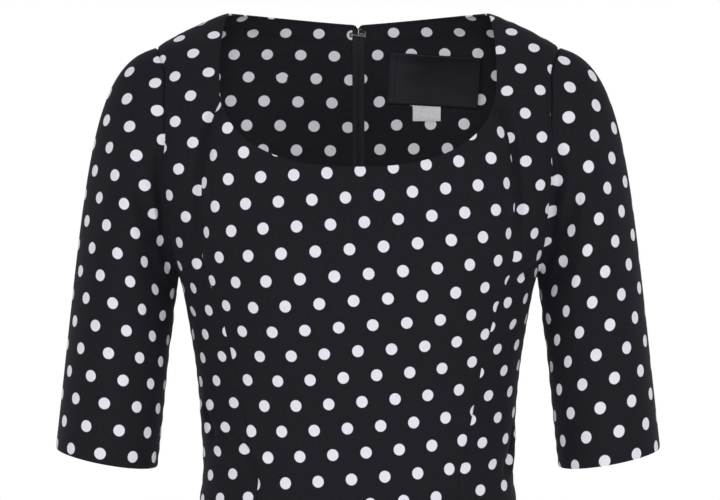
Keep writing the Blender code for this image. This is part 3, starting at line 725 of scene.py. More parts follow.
def laid_flat(points, rough, hold=None):
    """The cut of a shaped piece: its grid laid flat, its distances kept best where hold is high."""
    down = lengths_along(points, 0)[:, points.shape[1] // 2]
    across = lengths_along(points, 1)[-1]
    rows, columns = even_picks(down), even_picks(across)
    picked = np.ix_(rows, columns)
    solid, start = points[picked], rough[picked]
    hold = np.ones(start.shape[:2]) if hold is None else hold[picked]
    side = np.diff(lengths_along(points, 1)[picked], axis=1)
    fall = np.diff(lengths_along(points, 0)[picked], axis=0)
    straight = (np.linalg.norm(np.diff(solid, axis=1), axis=-1)[:-1]
                * np.linalg.norm(np.diff(solid, axis=0), axis=-1)[:, :-1])
    over_cloth = np.sqrt(side[:-1] * fall[:, :-1] / straight)     # a diagonal's longer way
    neighbours = ((np.s_[:, :-1], np.s_[:, 1:], side), (np.s_[:-1], np.s_[1:], fall),
                  (np.s_[:-1, :-1], np.s_[1:, 1:], None), (np.s_[:-1, 1:], np.s_[1:, :-1], None))
    ties = []
    for one, two, length in neighbours:
        if length is None:
            length = np.linalg.norm(solid[one] - solid[two], axis=-1) * over_cloth
        ties.append((one, two, length, (hold[one] + hold[two])[..., None] / (2 * FLAT_SOFTNESS)))
    flat, speed = start.copy(), np.zeros_like(start)
    for _ in range(FLAT_PASSES):
        pull = np.zeros_like(flat)
        for one, two, length, firm in ties:
            gap = flat[two] - flat[one]
            now = np.linalg.norm(gap, axis=-1)
            part = gap * ((now - length) / now)[..., None] * firm
            pull[one] += part
            pull[two] -= part
        speed = FLAT_CARRY * speed + pull
        flat = flat + speed
    shift = spread(flat - start, rows, down)
    shift = np.swapaxes(spread(np.swapaxes(shift, 0, 1), columns, across), 0, 1)
    return rough + shift


def flat_place(points, flat, dot, shown):
    """Where on the flat cut the point lies whose x and z are a dot's."""
    off = np.hypot(points[..., 0] - dot[0], points[..., 2] - dot[1])
    row, column = np.unravel_index(np.where(shown, off, np.inf).argmin(), off.shape)
    here = (row, column)
    steps = [(row, column + 1), (row + 1, column)]
    front_view = np.array([points[step][[0, 2]] - points[here][[0, 2]] for step in steps])
    on_cut = np.array([flat[step] - flat[here] for step in steps])
    share = np.linalg.solve(front_view.T, np.array(dot) - points[here][[0, 2]])
    return flat[here] + share @ on_cut


def print_map(name, flat, points, shown=True):
    """Turn a cut piece's lengths into the print's own: x along a row of dots, y across the rows."""
    dot_x, dot_z, turn, lean, across, rows = PRINT[name]
    cos, sin = math.cos(math.radians(turn)), math.sin(math.radians(turn))
    u, v = np.moveaxis(flat - flat_place(points, flat, (dot_x, dot_z), shown), -1, 0)
    x, y = cos * u + sin * v, cos * v - sin * u
    return np.stack([(x + math.tan(math.radians(lean)) * y) * DOT_ACROSS / across,
                     y * DOT_ROWS / rows], axis=-1)


# ---- Panels and sleeves ---------------------------------------------------------
def cloth_piece(name, skins, quads, looks, lap=None):
    """One cut piece of the dress as a thin shell, with the print's map on the flat cut that it is cut
    from.
    """
    parts = [grid.reshape(-1, grid.shape[-1]) for grid in skins]
    if lap is not None:
        parts, quads = lap(parts, quads, skins[0].shape[:2])
    made = cloth_object(name + "_cloth", *parts, quads, *looks)
    declare(made, name)


def body_panel(name, turn, z, seams, hems, looks, lap=None, dart=None):
    """One panel of the body: its own grid, rolled at its seams, turned at its free edges."""
    plain = body_point(turn, z)
    normal = body_normal(turn, z)
    near = edge_distances(plain)
    crease = crease_offset(CREASES, turn, z, CREASE_RADIUS, 1.0)
    worn = seam_valley(plain) - crease[..., None] * normal
    push, wall = np.zeros(turn.shape), np.full(turn.shape, CLOTH)
    for edge in seams:
        push = push + seam_roll(near[edge], near["top" if edge in ("left", "right") else "left"])
    if dart is not None:
        beside = from_column(near["left"], dart)
        push = push + seam_roll(beside, near["top"]) * bell(z - DART_Z, DART_HALF, 8)
    for edge in hems:
        wall = wall + TURNED_EDGE * turned(near[edge])
        push = push + EDGE_ROLL * bell(near[edge], EDGE_ROLL_REACH)
    outer = draw_in(worn, SEAM_GAP) - push[..., None] * normal
    inner = outer - wall[..., None] * normal
    lengths = edge_distances(worn)
    across = from_column(lengths["left"], turn.shape[1] // 2)
    flat_cut = laid_flat(worn, np.stack([across, lengths["bottom"]], axis=-1))
    skins = (outer, inner, print_map(name, flat_cut, worn))
    cloth_piece(name, skins, grid_quads(*turn.shape), looks, lap)


def side_front_inner_z():
    """Heights down the inner edge of a side front: the neckline, then the princess seam."""
    neck_z = np.linspace(0, PRINCESS_TOP_Z, NECK_STEPS + 1)
    seam_z = np.linspace(PRINCESS_TOP_Z, ARM_LOW_Z, ARM_STEPS - NECK_STEPS + 1)[1:]
    lower_z = np.linspace(ARM_LOW_Z, HEM_Z, LOWER_STEPS + 1)[1:]
    return np.concatenate([neck_z, seam_z, lower_z])


def front_centre(looks):
    """Panel between the princess seams, with the scoop of the neckline as its top edge."""
    scoop = NECK_SIDE_Z - NECK_LOW_Z
    corner = math.acos(((NECK_SIDE_Z - PRINCESS_TOP_Z) / scoop) ** (NECK_POWER / 2))
    steps = 2 * dense_edges(CENTRE_STEPS, CENTRE_WIDTH, VALLEY_STEPS) - 1
    angle = steps * corner
    neck_x = NECK_SIDE_X * np.sign(angle) * np.abs(np.sin(angle)) ** (2 / NECK_POWER)
    neck_z = NECK_SIDE_Z - scoop * np.cos(angle) ** (2 / NECK_POWER)
    neck_share = neck_x / princess_x(neck_z)
    seam_z = side_front_inner_z()[NECK_STEPS:, None]
    left = (seam_z - HEM_Z) / (PRINCESS_TOP_Z - HEM_Z)
    share = steps + (neck_share - steps) * left ** 3
    z = seam_z + (neck_z - PRINCESS_TOP_Z) * left ** 4
    turn = turn_at_x(share * princess_x(z), z)
    body_panel("front_centre", turn, z, ("left", "right"), ("top", "bottom"), looks)


def outer_edge(back):
    """Turns and heights down a side: along the armhole, then the side seam."""
    angle = np.linspace(0, math.pi, ARM_STEPS + 1)
    turn, z = armhole(-angle if back else angle)
    lower = np.linspace(ARM_LOW_Z, HEM_Z, LOWER_STEPS + 1)[1:]
    return np.append(turn, np.full(LOWER_STEPS, math.pi / 2)), np.append(z, lower)


def front_side(name, side, looks):
    """Side front: neckline and princess seam inside, armhole and side seam outside."""
    side_turn, side_z = outer_edge(back=False)
    inner_z = side_front_inner_z()
    inner_x = np.where(inner_z >= PRINCESS_TOP_Z, front_neck_x(inner_z), princess_x(inner_z))
    inner_x = np.minimum(inner_x, section("width", inner_z))
    inner_turn = turn_at_x(inner_x, inner_z)
    share = dense_edges(SIDE_STEPS, SIDE_WIDTH, VALLEY_STEPS)
    turn = inner_turn[:, None] * (1 - share) + side_turn[:, None] * share
    z = inner_z[:, None] * (1 - share) + side_z[:, None] * share
    if side == LEFT:
        turn, z = -turn[:, ::-1], z[:, ::-1]
    body_panel(name, turn, z, ("left", "right", "top"), ("bottom",), looks)


def back_grid():
    """Turns and heights of the right back, from the centre line out to the side."""
    arm_turn, arm_z = outer_edge(back=True)
    shoulder = np.linspace(0, ARM_TOP_Z, SIDE_STEPS + 1)[:-1]
    side_turn = np.append(np.full(SIDE_STEPS, math.pi / 2), arm_turn)
    side_z = np.append(shoulder, arm_z)
    top_rows = SIDE_STEPS + ARM_STEPS
    centre_z = np.append(np.linspace(-BACK_NECK_DROP, ARM_LOW_Z, top_rows + 1),
                         np.linspace(ARM_LOW_Z, HEM_Z, LOWER_STEPS + 1)[1:])
    roll = np.array(ROLL_STEPS) / BACK_WIDTH
    share = np.unique(np.concatenate([dense_edges(BACK_STEPS, BACK_WIDTH), DART_SHARE - roll,
                                      [DART_SHARE], DART_SHARE + roll]))
    turn = math.pi * (1 - share) + side_turn[:, None] * share
    z = centre_z[:, None] * (1 - share) + side_z[:, None] * share
    neck_x = NECK_POINT_X * share
    neck_z = -BACK_NECK_DROP * (1 - share ** BACK_NECK_POWER)
    neck_z = neck_z - NOTCH_DEPTH * bell(neck_x, NOTCH_REACH)
    neck_turn = turn_at_x(neck_x, neck_z, back=True)
    rows_down = np.arange(len(side_z))[:, None]
    settle = np.clip(1 - rows_down / top_rows, 0, 1) ** 2
    turn = turn + (neck_turn - turn[0]) * settle
    z = z + (neck_z - z[0]) * settle
    return turn, z, int(np.abs(share - DART_SHARE).argmin())


def vent_lap(parts, quads, shape):
    """Carry the right back's lowest centre edge on under the left back."""
    outer, inner, cut = parts
    rows, columns = shape
    centre = np.arange(rows) * columns + columns - 1
    edge = centre[outer[centre, 2] < VENT_TOP_Z]
    z = outer[edge, 2]
    sink = CAD_WALL + VENT_CLEAR
    for column, share in enumerate(VENT_SINK_SHARES):
        sunk = sink * share * body_normal(math.pi, z)
        outer[edge - column] -= sunk
        inner[edge - column] -= sunk
    before = edge
    for share in VENT_LAP_STEPS:
        turn = 2 * math.pi + turn_at_x(np.full_like(z, -VENT_LAP * share), z, back=True)
        normal = body_normal(turn, z)
        lap = body_point(turn, z) - sink * normal
        now = np.arange(len(outer), len(outer) + len(z))
        strip = np.stack([before[:-1], before[1:], now[1:], now[:-1]], axis=1)
        quads = np.concatenate([quads, strip])
        outer = np.vstack([outer, lap])
        inner = np.vstack([inner, lap - CLOTH * normal])
        cut = np.vstack([cut, cut[edge] + np.array((VENT_LAP * share, 0))])
        before = now
    return [outer, inner, cut], quads


def backs(looks):
    turn, z, dart = back_grid()
    last = turn.shape[1] - 1
    body_panel("back_right", turn[:, ::-1], z[:, ::-1], ("left", "right"), ("top", "bottom"),
               looks, lap=vent_lap, dart=last - dart)
    body_panel("back_left", -turn, z, ("left", "right"), ("top", "bottom"), looks, dart=dart)


def armhole_lap(angle):
    """Points in the thickness of the body's cloth, just past the right armhole's edge."""
    turn, z = armhole(angle)
    turn = math.pi / 2 + (turn - math.pi / 2) * (1 + ARM_LAP)
    z = ARM_MIDDLE_Z + (z - ARM_MIDDLE_Z) * (1 + ARM_LAP)
    return body_point(turn, z) - ARM_LAP_DEPTH * body_normal(turn, z)


def sleeve(name, side, looks):
    """Set-in sleeve: one cut piece round the arm, joined under it."""
    angle = math.pi * (2 * dense_edges(SLEEVE_ROUND, SLEEVE_GIRTH) - 1)
    along = dense_edges(SLEEVE_DOWN, SLEEVE_LENGTH, VALLEY_STEPS)[:, None] * np.ones_like(angle)
    angle = np.broadcast_to(angle, along.shape)
    plain = sleeve_point(angle, along)
    normal = sleeve_normal(angle, along)
    near = edge_distances(plain)
    push = crease_offset(SLEEVE_CREASES, angle % (2 * math.pi), along, SLEEVE_RADIUS, SLEEVE_LENGTH)
    push = push * np.clip(near["top"] / CAP_CLEAR, 0, 1)
    dip = near["top"] / DIP_REACH * np.exp(1 - near["top"] / DIP_REACH)
    push = push + DIP_DEPTH * dip * bell(turned_from(angle, DIP_ANGLE), DIP_SPREAD)
    push = push + seam_roll(near["top"], near["left"]) + TUCK_DEPTH * bell(near["top"], TUCK_ROLL)
    push = push + seam_roll(near["left"], near["top"]) + seam_roll(near["right"], near["top"])
    push = push + EDGE_ROLL * bell(near["bottom"], EDGE_ROLL_REACH)
    wall = CLOTH + TURNED_EDGE * turned(near["bottom"])
    outer = plain - push[..., None] * normal
    outer[:, 0, 1] -= SEAM_GAP / 2
    outer[:, -1, 1] += SEAM_GAP / 2
    inner = outer - wall[..., None] * normal
    across = -side * from_column(near["left"], angle.shape[1] // 2)
    hold = SLEEVE_HIDDEN_HOLD + (0.5 + 0.5 * np.cos(angle - SLEEVE_SHOWN)) ** 2
    flat_cut = laid_flat(plain, np.stack([across, near["bottom"]], axis=-1), hold)
    mirror = np.array((side, 1, 1))
    cut = print_map(name, flat_cut, plain * mirror, np.sin(angle) > 0)
    lap = armhole_lap(angle[:1])
    outer = np.concatenate([lap, outer]) * mirror
    inner = np.concatenate([lap - CLOTH * normal[:1], inner]) * mirror
    quads = grid_quads(*outer.shape[:2])
    quads = quads if side == LEFT else quads[:, ::-1]
    cloth_piece(name, (outer, inner, np.concatenate([cut[:1], cut])), quads, looks)


# ---- Nodes and materials ------------------------------------------------------------
def add_node(tree, kind, inputs=(), **settings):
    """New node with its settings made, and its inputs joined to sockets or set to values."""
    node = tree.nodes.new(kind)
    for key, value in settings.items():
        setattr(node, key, value)
    for socket, value in inputs:
        if isinstance(value, bpy.types.NodeSocket):
            tree.links.new(value, node.inputs[socket])
        else:
            node.inputs[socket].default_value = value
    return node


def shade(colour, strength=1.0):
    return tuple(channel * strength for channel in colour) + (1,)


class Finish:
    """A material in the making, with short calls for its nodes."""

    def __init__(self, name, **shader):
        self.material = bpy.data.materials.new(name)
        self.material.use_nodes = True
        self.tree = self.material.node_tree
        self.shader = self.tree.nodes["Principled BSDF"]
        for socket, value in shader.items():
            self.shader.inputs[socket.replace("_", " ")].default_value = value

    def add(self, kind, inputs=(), **settings):
        return add_node(self.tree, kind, inputs, **settings)

    def math(self, operation, *values):
        return self.add("ShaderNodeMath", enumerate(values), operation=operation).outputs[0]

    def place(self):
        return self.add("ShaderNodeTexCoord").outputs["Object"]

    def split(self, vector):
        return self.add("ShaderNodeSeparateXYZ", [(0, vector)]).outputs

    def wave(self, length, pitch):
        return self.math("SINE", self.math("MULTIPLY", length, 2 * math.pi / pitch))

    def noise(self, vector, scale, detail=2.0):
        inputs = [("Vector", vector), ("Scale", scale), ("Detail", detail)]
        return self.add("ShaderNodeTexNoise", inputs).outputs["Fac"]

    def ramp(self, value, low, high, start=0.0, end=1.0):
        inputs = [("Value", value), ("From Min", low), ("From Max", high),
                  ("To Min", start), ("To Max", end)]
        return self.add("ShaderNodeMapRange", inputs, interpolation_type="SMOOTHSTEP").outputs[0]

    def mix(self, share, a, b):
        inputs = [(0, share), (6, a), (7, b)]
        return self.add("ShaderNodeMix", inputs, data_type="RGBA").outputs[2]

    def tones(self, share, colour, low, high):
        return self.mix(share, shade(colour, low), shade(colour, high))

    def give(self, socket, value):
        self.tree.links.new(value, self.shader.inputs[socket])

    def bump(self, height, distance, strength):
        inputs = [("Height", height), ("Distance", distance), ("Strength", strength)]
        self.give("Normal", self.add("ShaderNodeBump", inputs).outputs["Normal"])


def dot_distance(m, u, v):
    """Distance to the nearest dot's middle, on two rectangular lattices set half a step apart."""
    reaches = []
    for shift in (0.0, 0.5):
        squares = []
        for length, step in ((u, DOT_ACROSS), (v, 2 * DOT_ROWS)):
            share = m.math("FRACT", m.math("ADD", m.math("DIVIDE", length, step), shift))
            off = m.math("MULTIPLY", m.math("SUBTRACT", share, 0.5), step)
            squares.append(m.math("MULTIPLY", off, off))
        reaches.append(m.math("SQRT", m.math("ADD", *squares)))
    return m.math("MINIMUM", *reaches)


def polka_cloth(name, ground, dot):
    """Fine ribbed stretch cloth, bluish black, printed with round white dots."""
    m = Finish(name, Roughness=0.86, Specular_IOR_Level=0.12, Sheen_Weight=0.03,
               Sheen_Roughness=0.45, Sheen_Tint=(0.75, 0.78, 1.0, 1))
    uv = m.add("ShaderNodeUVMap", uv_map="Cut").outputs["UV"]
    u, v, _ = m.split(uv)
    fray = m.math("MULTIPLY", m.math("SUBTRACT", m.noise(uv, DOT_GRAIN), 0.5), DOT_FRAY)
    reach = m.math("ADD", dot_distance(m, u, v), fray)
    inside_dot = m.ramp(reach, DOT_RADIUS - DOT_BLUR, DOT_RADIUS + DOT_BLUR, 1.0, 0.0)
    warp = m.math("MULTIPLY", m.wave(u, CLOTH_WARP), 0.6)
    weave = m.math("MULTIPLY", m.math("ADD", m.wave(v, CLOTH_RIB), warp), 0.5)
    slub = m.noise(uv, CLOTH_SLUB, 3.0)
    tone = m.math("ADD", m.math("MULTIPLY", weave, 0.10), m.math("MULTIPLY", slub, 0.9))
    cloth = m.tones(tone, ground, 0.72, 1.35)
    m.give("Base Color", m.mix(inside_dot, cloth, m.tones(tone, dot, 0.93, 1.0)))
    m.bump(m.math("ADD", weave, m.math("MULTIPLY", slub, 1.2)), 0.00006, 0.8)
    return m.material


def plain_weave(name, colour, roughness, pitch):
    """Woven tape or ribbon in one colour, with its threads raised."""
    m = Finish(name, Roughness=roughness)
    place = m.place()
    x, _, z = m.split(place)
    weave = m.math("MULTIPLY", m.wave(x, pitch), m.wave(z, pitch))
    slub = m.noise(place, 700.0, 3.0)
    m.give("Base Color", m.tones(m.math("ADD", m.math("MULTIPLY", weave, 0.2), slub), colour, 0.75, 1.3))
    m.bump(m.math("ADD", weave, slub), 0.00005, 0.8)
    return m.material


def label_satin():
    """Bluish black satin: long floats across the label, with a painted sheen that pales its left end."""
    m = Finish("label_satin", Specular_IOR_Level=0.25, Anisotropic=0.5)
    place = m.place()
    x, _, z = m.split(place)
    rib = m.wave(z, LABEL_RIB)
    drawn = m.add("ShaderNodeVectorMath", [(0, place), (1, LABEL_FLOATS)], operation="MULTIPLY")
    floats = m.noise(drawn.outputs[0], 2600.0)
    # Painted sheen: the colour pales towards the label's left end, where its satin would catch the
    # light.
    fade = m.ramp(x, *(LABEL_CENTRE[0] - LABEL_SIZE[0] * share for share in LABEL_PAINTED_SHEEN_RUN))
    body = m.mix(fade, shade(LABEL_PAINTED_SHEEN), shade(LABEL_DEEP))
    tone = m.math("MULTIPLY", m.math("ADD", m.math("MULTIPLY", rib, 0.15), floats), 0.5)
    m.give("Base Color", m.mix(tone, body, shade(LABEL_THREAD)))
    m.give("Roughness", m.math("ADD", m.math("MULTIPLY", floats, 0.15), 0.42))
    m.bump(m.math("ADD", rib, floats), 0.00004, 0.8)
    return m.material


def spun_thread(name, colour, roughness):
    """Thread or nylon with a fine twist and uneven tone."""
    m = Finish(name, Roughness=roughness)
    place = m.place()
    x, y, z = m.split(place)
    twist = m.wave(m.math("ADD", x, m.math("ADD", y, z)), THREAD_TWIST)
    fuzz = m.noise(place, 4000.0)
    m.give("Base Color", m.tones(fuzz, colour, 0.7, 1.4))
    m.bump(m.math("ADD", twist, fuzz), 0.00003, 0.7)
    return m.material


def worn_metal(name, colour, roughness):
    """Metal with a fine grain and slightly rubbed patches."""
    m = Finish(name, Metallic=1.0)
    place = m.place()
    patches = m.noise(place, 900.0, 4.0)
    m.give("Base Color", m.tones(patches, colour, 0.7, 1.5))
    m.give("Roughness", m.math("ADD", m.math("MULTIPLY", patches, 0.25), roughness - 0.1))
    m.bump(m.noise(place, 3000.0), 0.00002, 0.5)
    return m.material


def pale_floor():
    m = Finish("pale_floor", Roughness=0.8)
    low, high = (shade((tone,) * 3) for tone in FLOOR_TONES)
    m.give("Base Color", m.mix(m.noise(m.place(), 6.0), low, high))
    return m.material


# ---- Trim inside the neck -----------------------------------------------------------
def inside(turn, z, depth):
    """Place and inward direction, a depth in from the body's outer face."""
    normal = body_normal(turn, z)
    return body_point(turn, z) - np.asarray(depth)[..., None] * normal, -normal


def inside_back(x, z, lift):
    """The same on the inside of the back, lift metres off the cloth's inner face."""
    return inside(turn_at_x(x, z, back=True) % (2 * math.pi), z, CAD_WALL + np.asarray(lift))


def trim_piece(name, node, x, z, lift, thickness, look):
    """Thin strip or label on the inside of the back."""
    far, inward = inside_back(x, z, lift)
    near = far + thickness[..., None] * inward
    made = cloth_object(name, far, near, np.stack([x, z], axis=-1), grid_quads(*x.shape), look, look)
    declare(made, node)


def zip_tape(look):
    """The zip's two tapes, edge to edge under the coil, run up to the neck notch."""
    columns = np.array(TAPE_COLUMNS)
    x, z = np.meshgrid(TAPE_LEFT_X + (TAPE_RIGHT_X - TAPE_LEFT_X) * columns,
                       np.linspace(TAPE_SHOWN_Z, TAPE_LOW_Z, TAPE_ROWS))
    thinned = (bell(columns - 0.5, TAPE_GROOVE_SHARE)
               + bell(np.minimum(columns, 1 - columns), TAPE_RIM_SHARE))
    thickness = np.broadcast_to(TAPE_THICKNESS - TAPE_THINNED * thinned, x.shape)
    trim_piece("zip_tape_weave", "zip_tape", x, z, TRIM_GAP, thickness, look)


def label_place(across, up):
    """Places and heights on the label, turned a little as it was sewn, and its thickness."""
    cos, sin = math.cos(LABEL_TURN), math.sin(LABEL_TURN)
    x = LABEL_CENTRE[0] + cos * across - sin * up
    z = LABEL_CENTRE[1] + sin * across + cos * up
    ends = LABEL_SIZE[0] / 2 - abs(across)
    edge = np.minimum(ends, LABEL_SIZE[1] / 2 - abs(up))
    folded = LABEL_FOLD_RISE * step_down(ends - LABEL_FOLD, LABEL_FOLD_STEP)
    rate_across, rate_up = LABEL_WAVE_RATES
    wave = LABEL_WAVE * np.cos(across * rate_across + LABEL_WAVE_START) * np.sin(up * rate_up) ** 2
    return x, z, LABEL_THICKNESS + folded + wave - LABEL_RIM_THINNED * bell(edge, TRIM_RIM)


def neck_label(look):
    """Bare satin label, its two short ends folded under and sewn down."""
    fold = 0.5 - LABEL_FOLD / LABEL_SIZE[0] + np.array(LABEL_FOLD_COLUMNS)
    columns = np.concatenate([dense_edges(44, LABEL_SIZE[0]) - 0.5, fold, -fold])
    across, up = np.meshgrid(np.unique(columns) * LABEL_SIZE[0],
                             (0.5 - dense_edges(26, LABEL_SIZE[1])) * LABEL_SIZE[1])
    x, z, thickness = label_place(across, up)
    trim_piece("neck_label_weave", "neck_label", x, z, LABEL_LIFT, thickness, look)


def size_tag(look):
    """Bare white tag, a little thicker where it is sewn across."""
    across, up = np.meshgrid((dense_edges(14, TAG_SIZE[0]) - 0.5) * TAG_SIZE[0],
                             (0.5 - dense_edges(14, TAG_SIZE[1])) * TAG_SIZE[1])
    edge = np.minimum(TAG_SIZE[0] / 2 - abs(across), TAG_SIZE[1] / 2 - abs(up))
    sewn_line = up + TAG_SIZE[1] / 2 - TAG_SEWN_UP
    thickness = (TAG_THICKNESS - TAG_RIM_THINNED * bell(edge, TRIM_RIM)
                 + TAG_FOLD_RISE * bell(sewn_line, TAG_FOLD_REACH))
    trim_piece("size_tag_weave", "size_tag", TAG_CENTRE[0] + across, TAG_CENTRE[1] + up, TRIM_GAP,
               thickness, look)


# ---- Sewing, and the coil of the zip -------------------------------------------------
def thread_tree():
    """Lays one arched length of thread after another along a path, each turned by a slant."""
    tree = bpy.data.node_groups.new("thread_along_path", "GeometryNodeTree")
    floats = [(size, "INPUT", "Float") for size in THREAD_SIZES]
    for name, way, kind in [("Path", "INPUT", "Geometry"), *floats, ("Seed", "INPUT", "Int"),
                            ("Look", "INPUT", "Material"), ("Thread", "OUTPUT", "Geometry")]:
        tree.interface.new_socket(name, in_out=way, socket_type="NodeSocket" + kind)

    def add(kind, inputs=(), **settings):
        return add_node(tree, kind, inputs, **settings)

    def reckon(operation, a, b):
        return add("ShaderNodeMath", [(0, a), (1, b)], operation=operation).outputs[0]

    given = add("NodeGroupInput").outputs
    curve = add("GeometryNodeMeshToCurve", [("Mesh", given["Path"])])
    even = add("GeometryNodeResampleCurve",
               [("Curve", curve.outputs[0]), ("Length", given["Spacing"])], mode="LENGTH")
    half = reckon("MULTIPLY", given["Length"], 0.5)
    start = add("ShaderNodeCombineXYZ", [("X", reckon("MULTIPLY", half, -1.0))]).outputs[0]
    middle = add("ShaderNodeCombineXYZ", [("Z", given["Rise"])]).outputs[0]
    end = add("ShaderNodeCombineXYZ", [("X", half)]).outputs[0]
    arch = add("GeometryNodeCurveQuadraticBezier",
               [("Resolution", 5), ("Start", start), ("Middle", middle), ("End", end)])
    ring = add("GeometryNodeCurvePrimitiveCircle", [("Resolution", 5), ("Radius", given["Radius"])])
    length = add("GeometryNodeCurveToMesh", [("Curve", arch.outputs[0]),
                                            ("Profile Curve", ring.outputs[0]), ("Fill Caps", True)])
    uneven = given["Unevenness"]
    sway = add("FunctionNodeRandomValue",
               [(2, reckon("MULTIPLY", uneven, -1.0)), (3, uneven), ("Seed", given["Seed"])],
               data_type="FLOAT").outputs[1]
    slant = reckon("ADD", given["Slant"], sway)
    tangent = add("GeometryNodeInputTangent").outputs[0]
    up = add("GeometryNodeInputNamedAttribute", [("Name", "up")], data_type="FLOAT_VECTOR").outputs[0]
    along = add("FunctionNodeAlignRotationToVector", [("Vector", tangent)], axis="X")
    stood = add("FunctionNodeAlignRotationToVector",
                [("Rotation", along.outputs[0]), ("Vector", up)], axis="Z", pivot_axis="X")
    spin = add("FunctionNodeAxisAngleToRotation", [("Axis", (0, 0, 1)), ("Angle", slant)])
    turned_by = add("FunctionNodeRotateRotation",
                    [("Rotation", stood.outputs[0]), ("Rotate By", spin.outputs[0])],
                    rotation_space="LOCAL")
    laid = add("GeometryNodeInstanceOnPoints",
               [("Points", even.outputs[0]), ("Instance", length.outputs[0]),
                ("Rotation", turned_by.outputs[0])])
    solid = add("GeometryNodeRealizeInstances", [("Geometry", laid.outputs[0])])
    soft = add("GeometryNodeSetShadeSmooth", [("Geometry", solid.outputs[0])])
    look = add("GeometryNodeSetMaterial", [("Geometry", soft.outputs[0]), ("Material", given["Look"])])
    add("NodeGroupOutput", [(0, look.outputs[0])])
    return tree


def sewn(name, paths, look):
    """Thread along paths, each given as its points and the directions that face out of the cloth."""
    slot, *sizes = STITCHES[name]
    points = np.concatenate([path for path, _ in paths])
    edges = []
    first = 0
    for path, _ in paths:
        edges += [(first + i, first + i + 1) for i in range(len(path) - 1)]
        first += len(path)
    mesh = bpy.data.meshes.new(name + "_path")
    mesh.from_pydata(points.tolist(), edges, [])
    up = mesh.attributes.new("up", "FLOAT_VECTOR", "POINT")
    up.data.foreach_set("vector", np.concatenate([ups for _, ups in paths]).ravel())
    made = add_object(name, mesh)
    tree = bpy.data.node_groups.get("thread_along_path") or thread_tree()
    thread = made.modifiers.new("thread", "NODES")
    thread.node_group = tree
    values = {**dict(zip(THREAD_SIZES, sizes)), "Seed": THREAD_SEED, "Look": look}
    for item in tree.interface.items_tree:
        if item.name in values:
            thread[item.identifier] = values[item.name]
    graph = bpy.context.evaluated_depsgraph_get()
    solid = bpy.data.meshes.new_from_object(made.evaluated_get(graph), depsgraph=graph)
    made.modifiers.remove(thread)
    made.data = solid
    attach(made, "dress")


def zip_coil(look):
    """Two rows of small loops, hooked together down the middle of the tape."""
    middle = (TAPE_LEFT_X + TAPE_RIGHT_X) / 2
    paths = []
    for side in (LEFT, RIGHT):
        z = np.linspace(TAPE_TOP_Z - COIL_PITCH * (0.5 + 0.25 * side), TAPE_LOW_Z + COIL_SHORT, 240)
        x = np.full_like(z, middle + side * COIL_OFFSET)
        paths.append(inside_back(x, z, TRIM_GAP + TAPE_THICKNESS))
    sewn("zip_coil", paths, look)


def sewing(dark, pale):
    """Every line of stitches: the zip's tapes, the label and tag, the hems and the vent's tack."""
    z = np.linspace(TAPE_TOP_Z - TAPE_SEWN_SHORT, TAPE_LOW_Z + TAPE_SEWN_SHORT, 200)
    tapes = [inside_back(np.full_like(z, x), z, TRIM_GAP + TAPE_THICKNESS)
             for x in (TAPE_LEFT_X + TAPE_SEWN_IN, TAPE_RIGHT_X - TAPE_SEWN_IN)]
    sewn("tape_stitches", tapes, dark)

    up = np.linspace(-0.5, 0.5, 40) * (LABEL_SIZE[1] - LABEL_SEWN_SHORT)
    ends = []
    for side in (LEFT, RIGHT):
        x, z, thick = label_place(np.full_like(up, side * (LABEL_SIZE[0] / 2 - LABEL_SEWN_IN)), up)
        ends.append(inside_back(x, z, LABEL_LIFT + thick))
    sewn("label_stitches", ends, dark)

    across = np.linspace(-0.5, 0.5, 12) * (TAG_SIZE[0] - TAG_SEWN_SHORT)
    low = np.full_like(across, TAG_CENTRE[1] - TAG_SIZE[1] / 2 + TAG_SEWN_UP)
    tag = inside_back(TAG_CENTRE[0] + across, low, TRIM_GAP + TAG_THICKNESS + TAG_SEWN_LIFT)
    sewn("tag_stitches", [tag], pale)

    turned_up = TURNED_REACH - HEM_SEWN_IN
    turn = np.linspace(-HEM_SEWN_TURN, HEM_SEWN_TURN, 300)
    hem = inside(turn, np.full_like(turn, HEM_Z + turned_up), CLOTH + TURNED_EDGE)
    sewn("hem_stitches", [hem], dark)

    angle = np.linspace(-CUFF_SEWN_TURN, CUFF_SEWN_TURN, 160)
    along = np.full_like(angle, 1 - turned_up / SLEEVE_LENGTH)
    normal = sleeve_normal(angle, along)
    line = sleeve_point(angle, along) - (CLOTH + TURNED_EDGE) * normal
    mirrors = [np.array((side, 1, 1)) for side in (LEFT, RIGHT)]
    sewn("cuff_stitches", [(line * mirror, -normal * mirror) for mirror in mirrors], dark)

    turn = math.pi + np.linspace(-0.5, 0.5, 10) * TACK_LENGTH / section("back", VENT_TOP_Z)
    height = np.full_like(turn, VENT_TOP_Z + TACK_UP)
    sewn("vent_bar_tack", [(body_point(turn, height), body_normal(turn, height))], dark)


# ---- Metal: the zip's head, and the hook and eye ---------------------------------------
def circle(count):
    return np.linspace(0, 2 * math.pi, count, endpoint=False)


def add_rings(body, rings, closed=False):
    """Skin over a row of rings; ends capped, unless the last ring joins the first."""
    rows = [[body.verts.new(point) for point in ring] for ring in rings]
    pairs = list(zip(rows, rows[1:])) + ([(rows[-1], rows[0])] if closed else [])
    for a, b in pairs:
        for i in range(len(a)):
            j = (i + 1) % len(a)
            body.faces.new((a[i], a[j], b[j], b[i]))
    if not closed:
        body.faces.new(rows[0])
        body.faces.new(rows[-1])


def add_bar(body, stations, x=0.0, sides=24, power=4.0):
    """Rounded bar along y from a table of place, half width, half height and middle height."""
    cos, sin = np.cos(circle(sides)), np.sin(circle(sides))
    wide = np.sign(cos) * np.abs(cos) ** (2 / power)
    high = np.sign(sin) * np.abs(sin) ** (2 / power)
    add_rings(body, [np.stack([x + half_x * wide, np.full(sides, y), middle + half_z * high], axis=1)
                     for y, half_x, half_z, middle in stations])


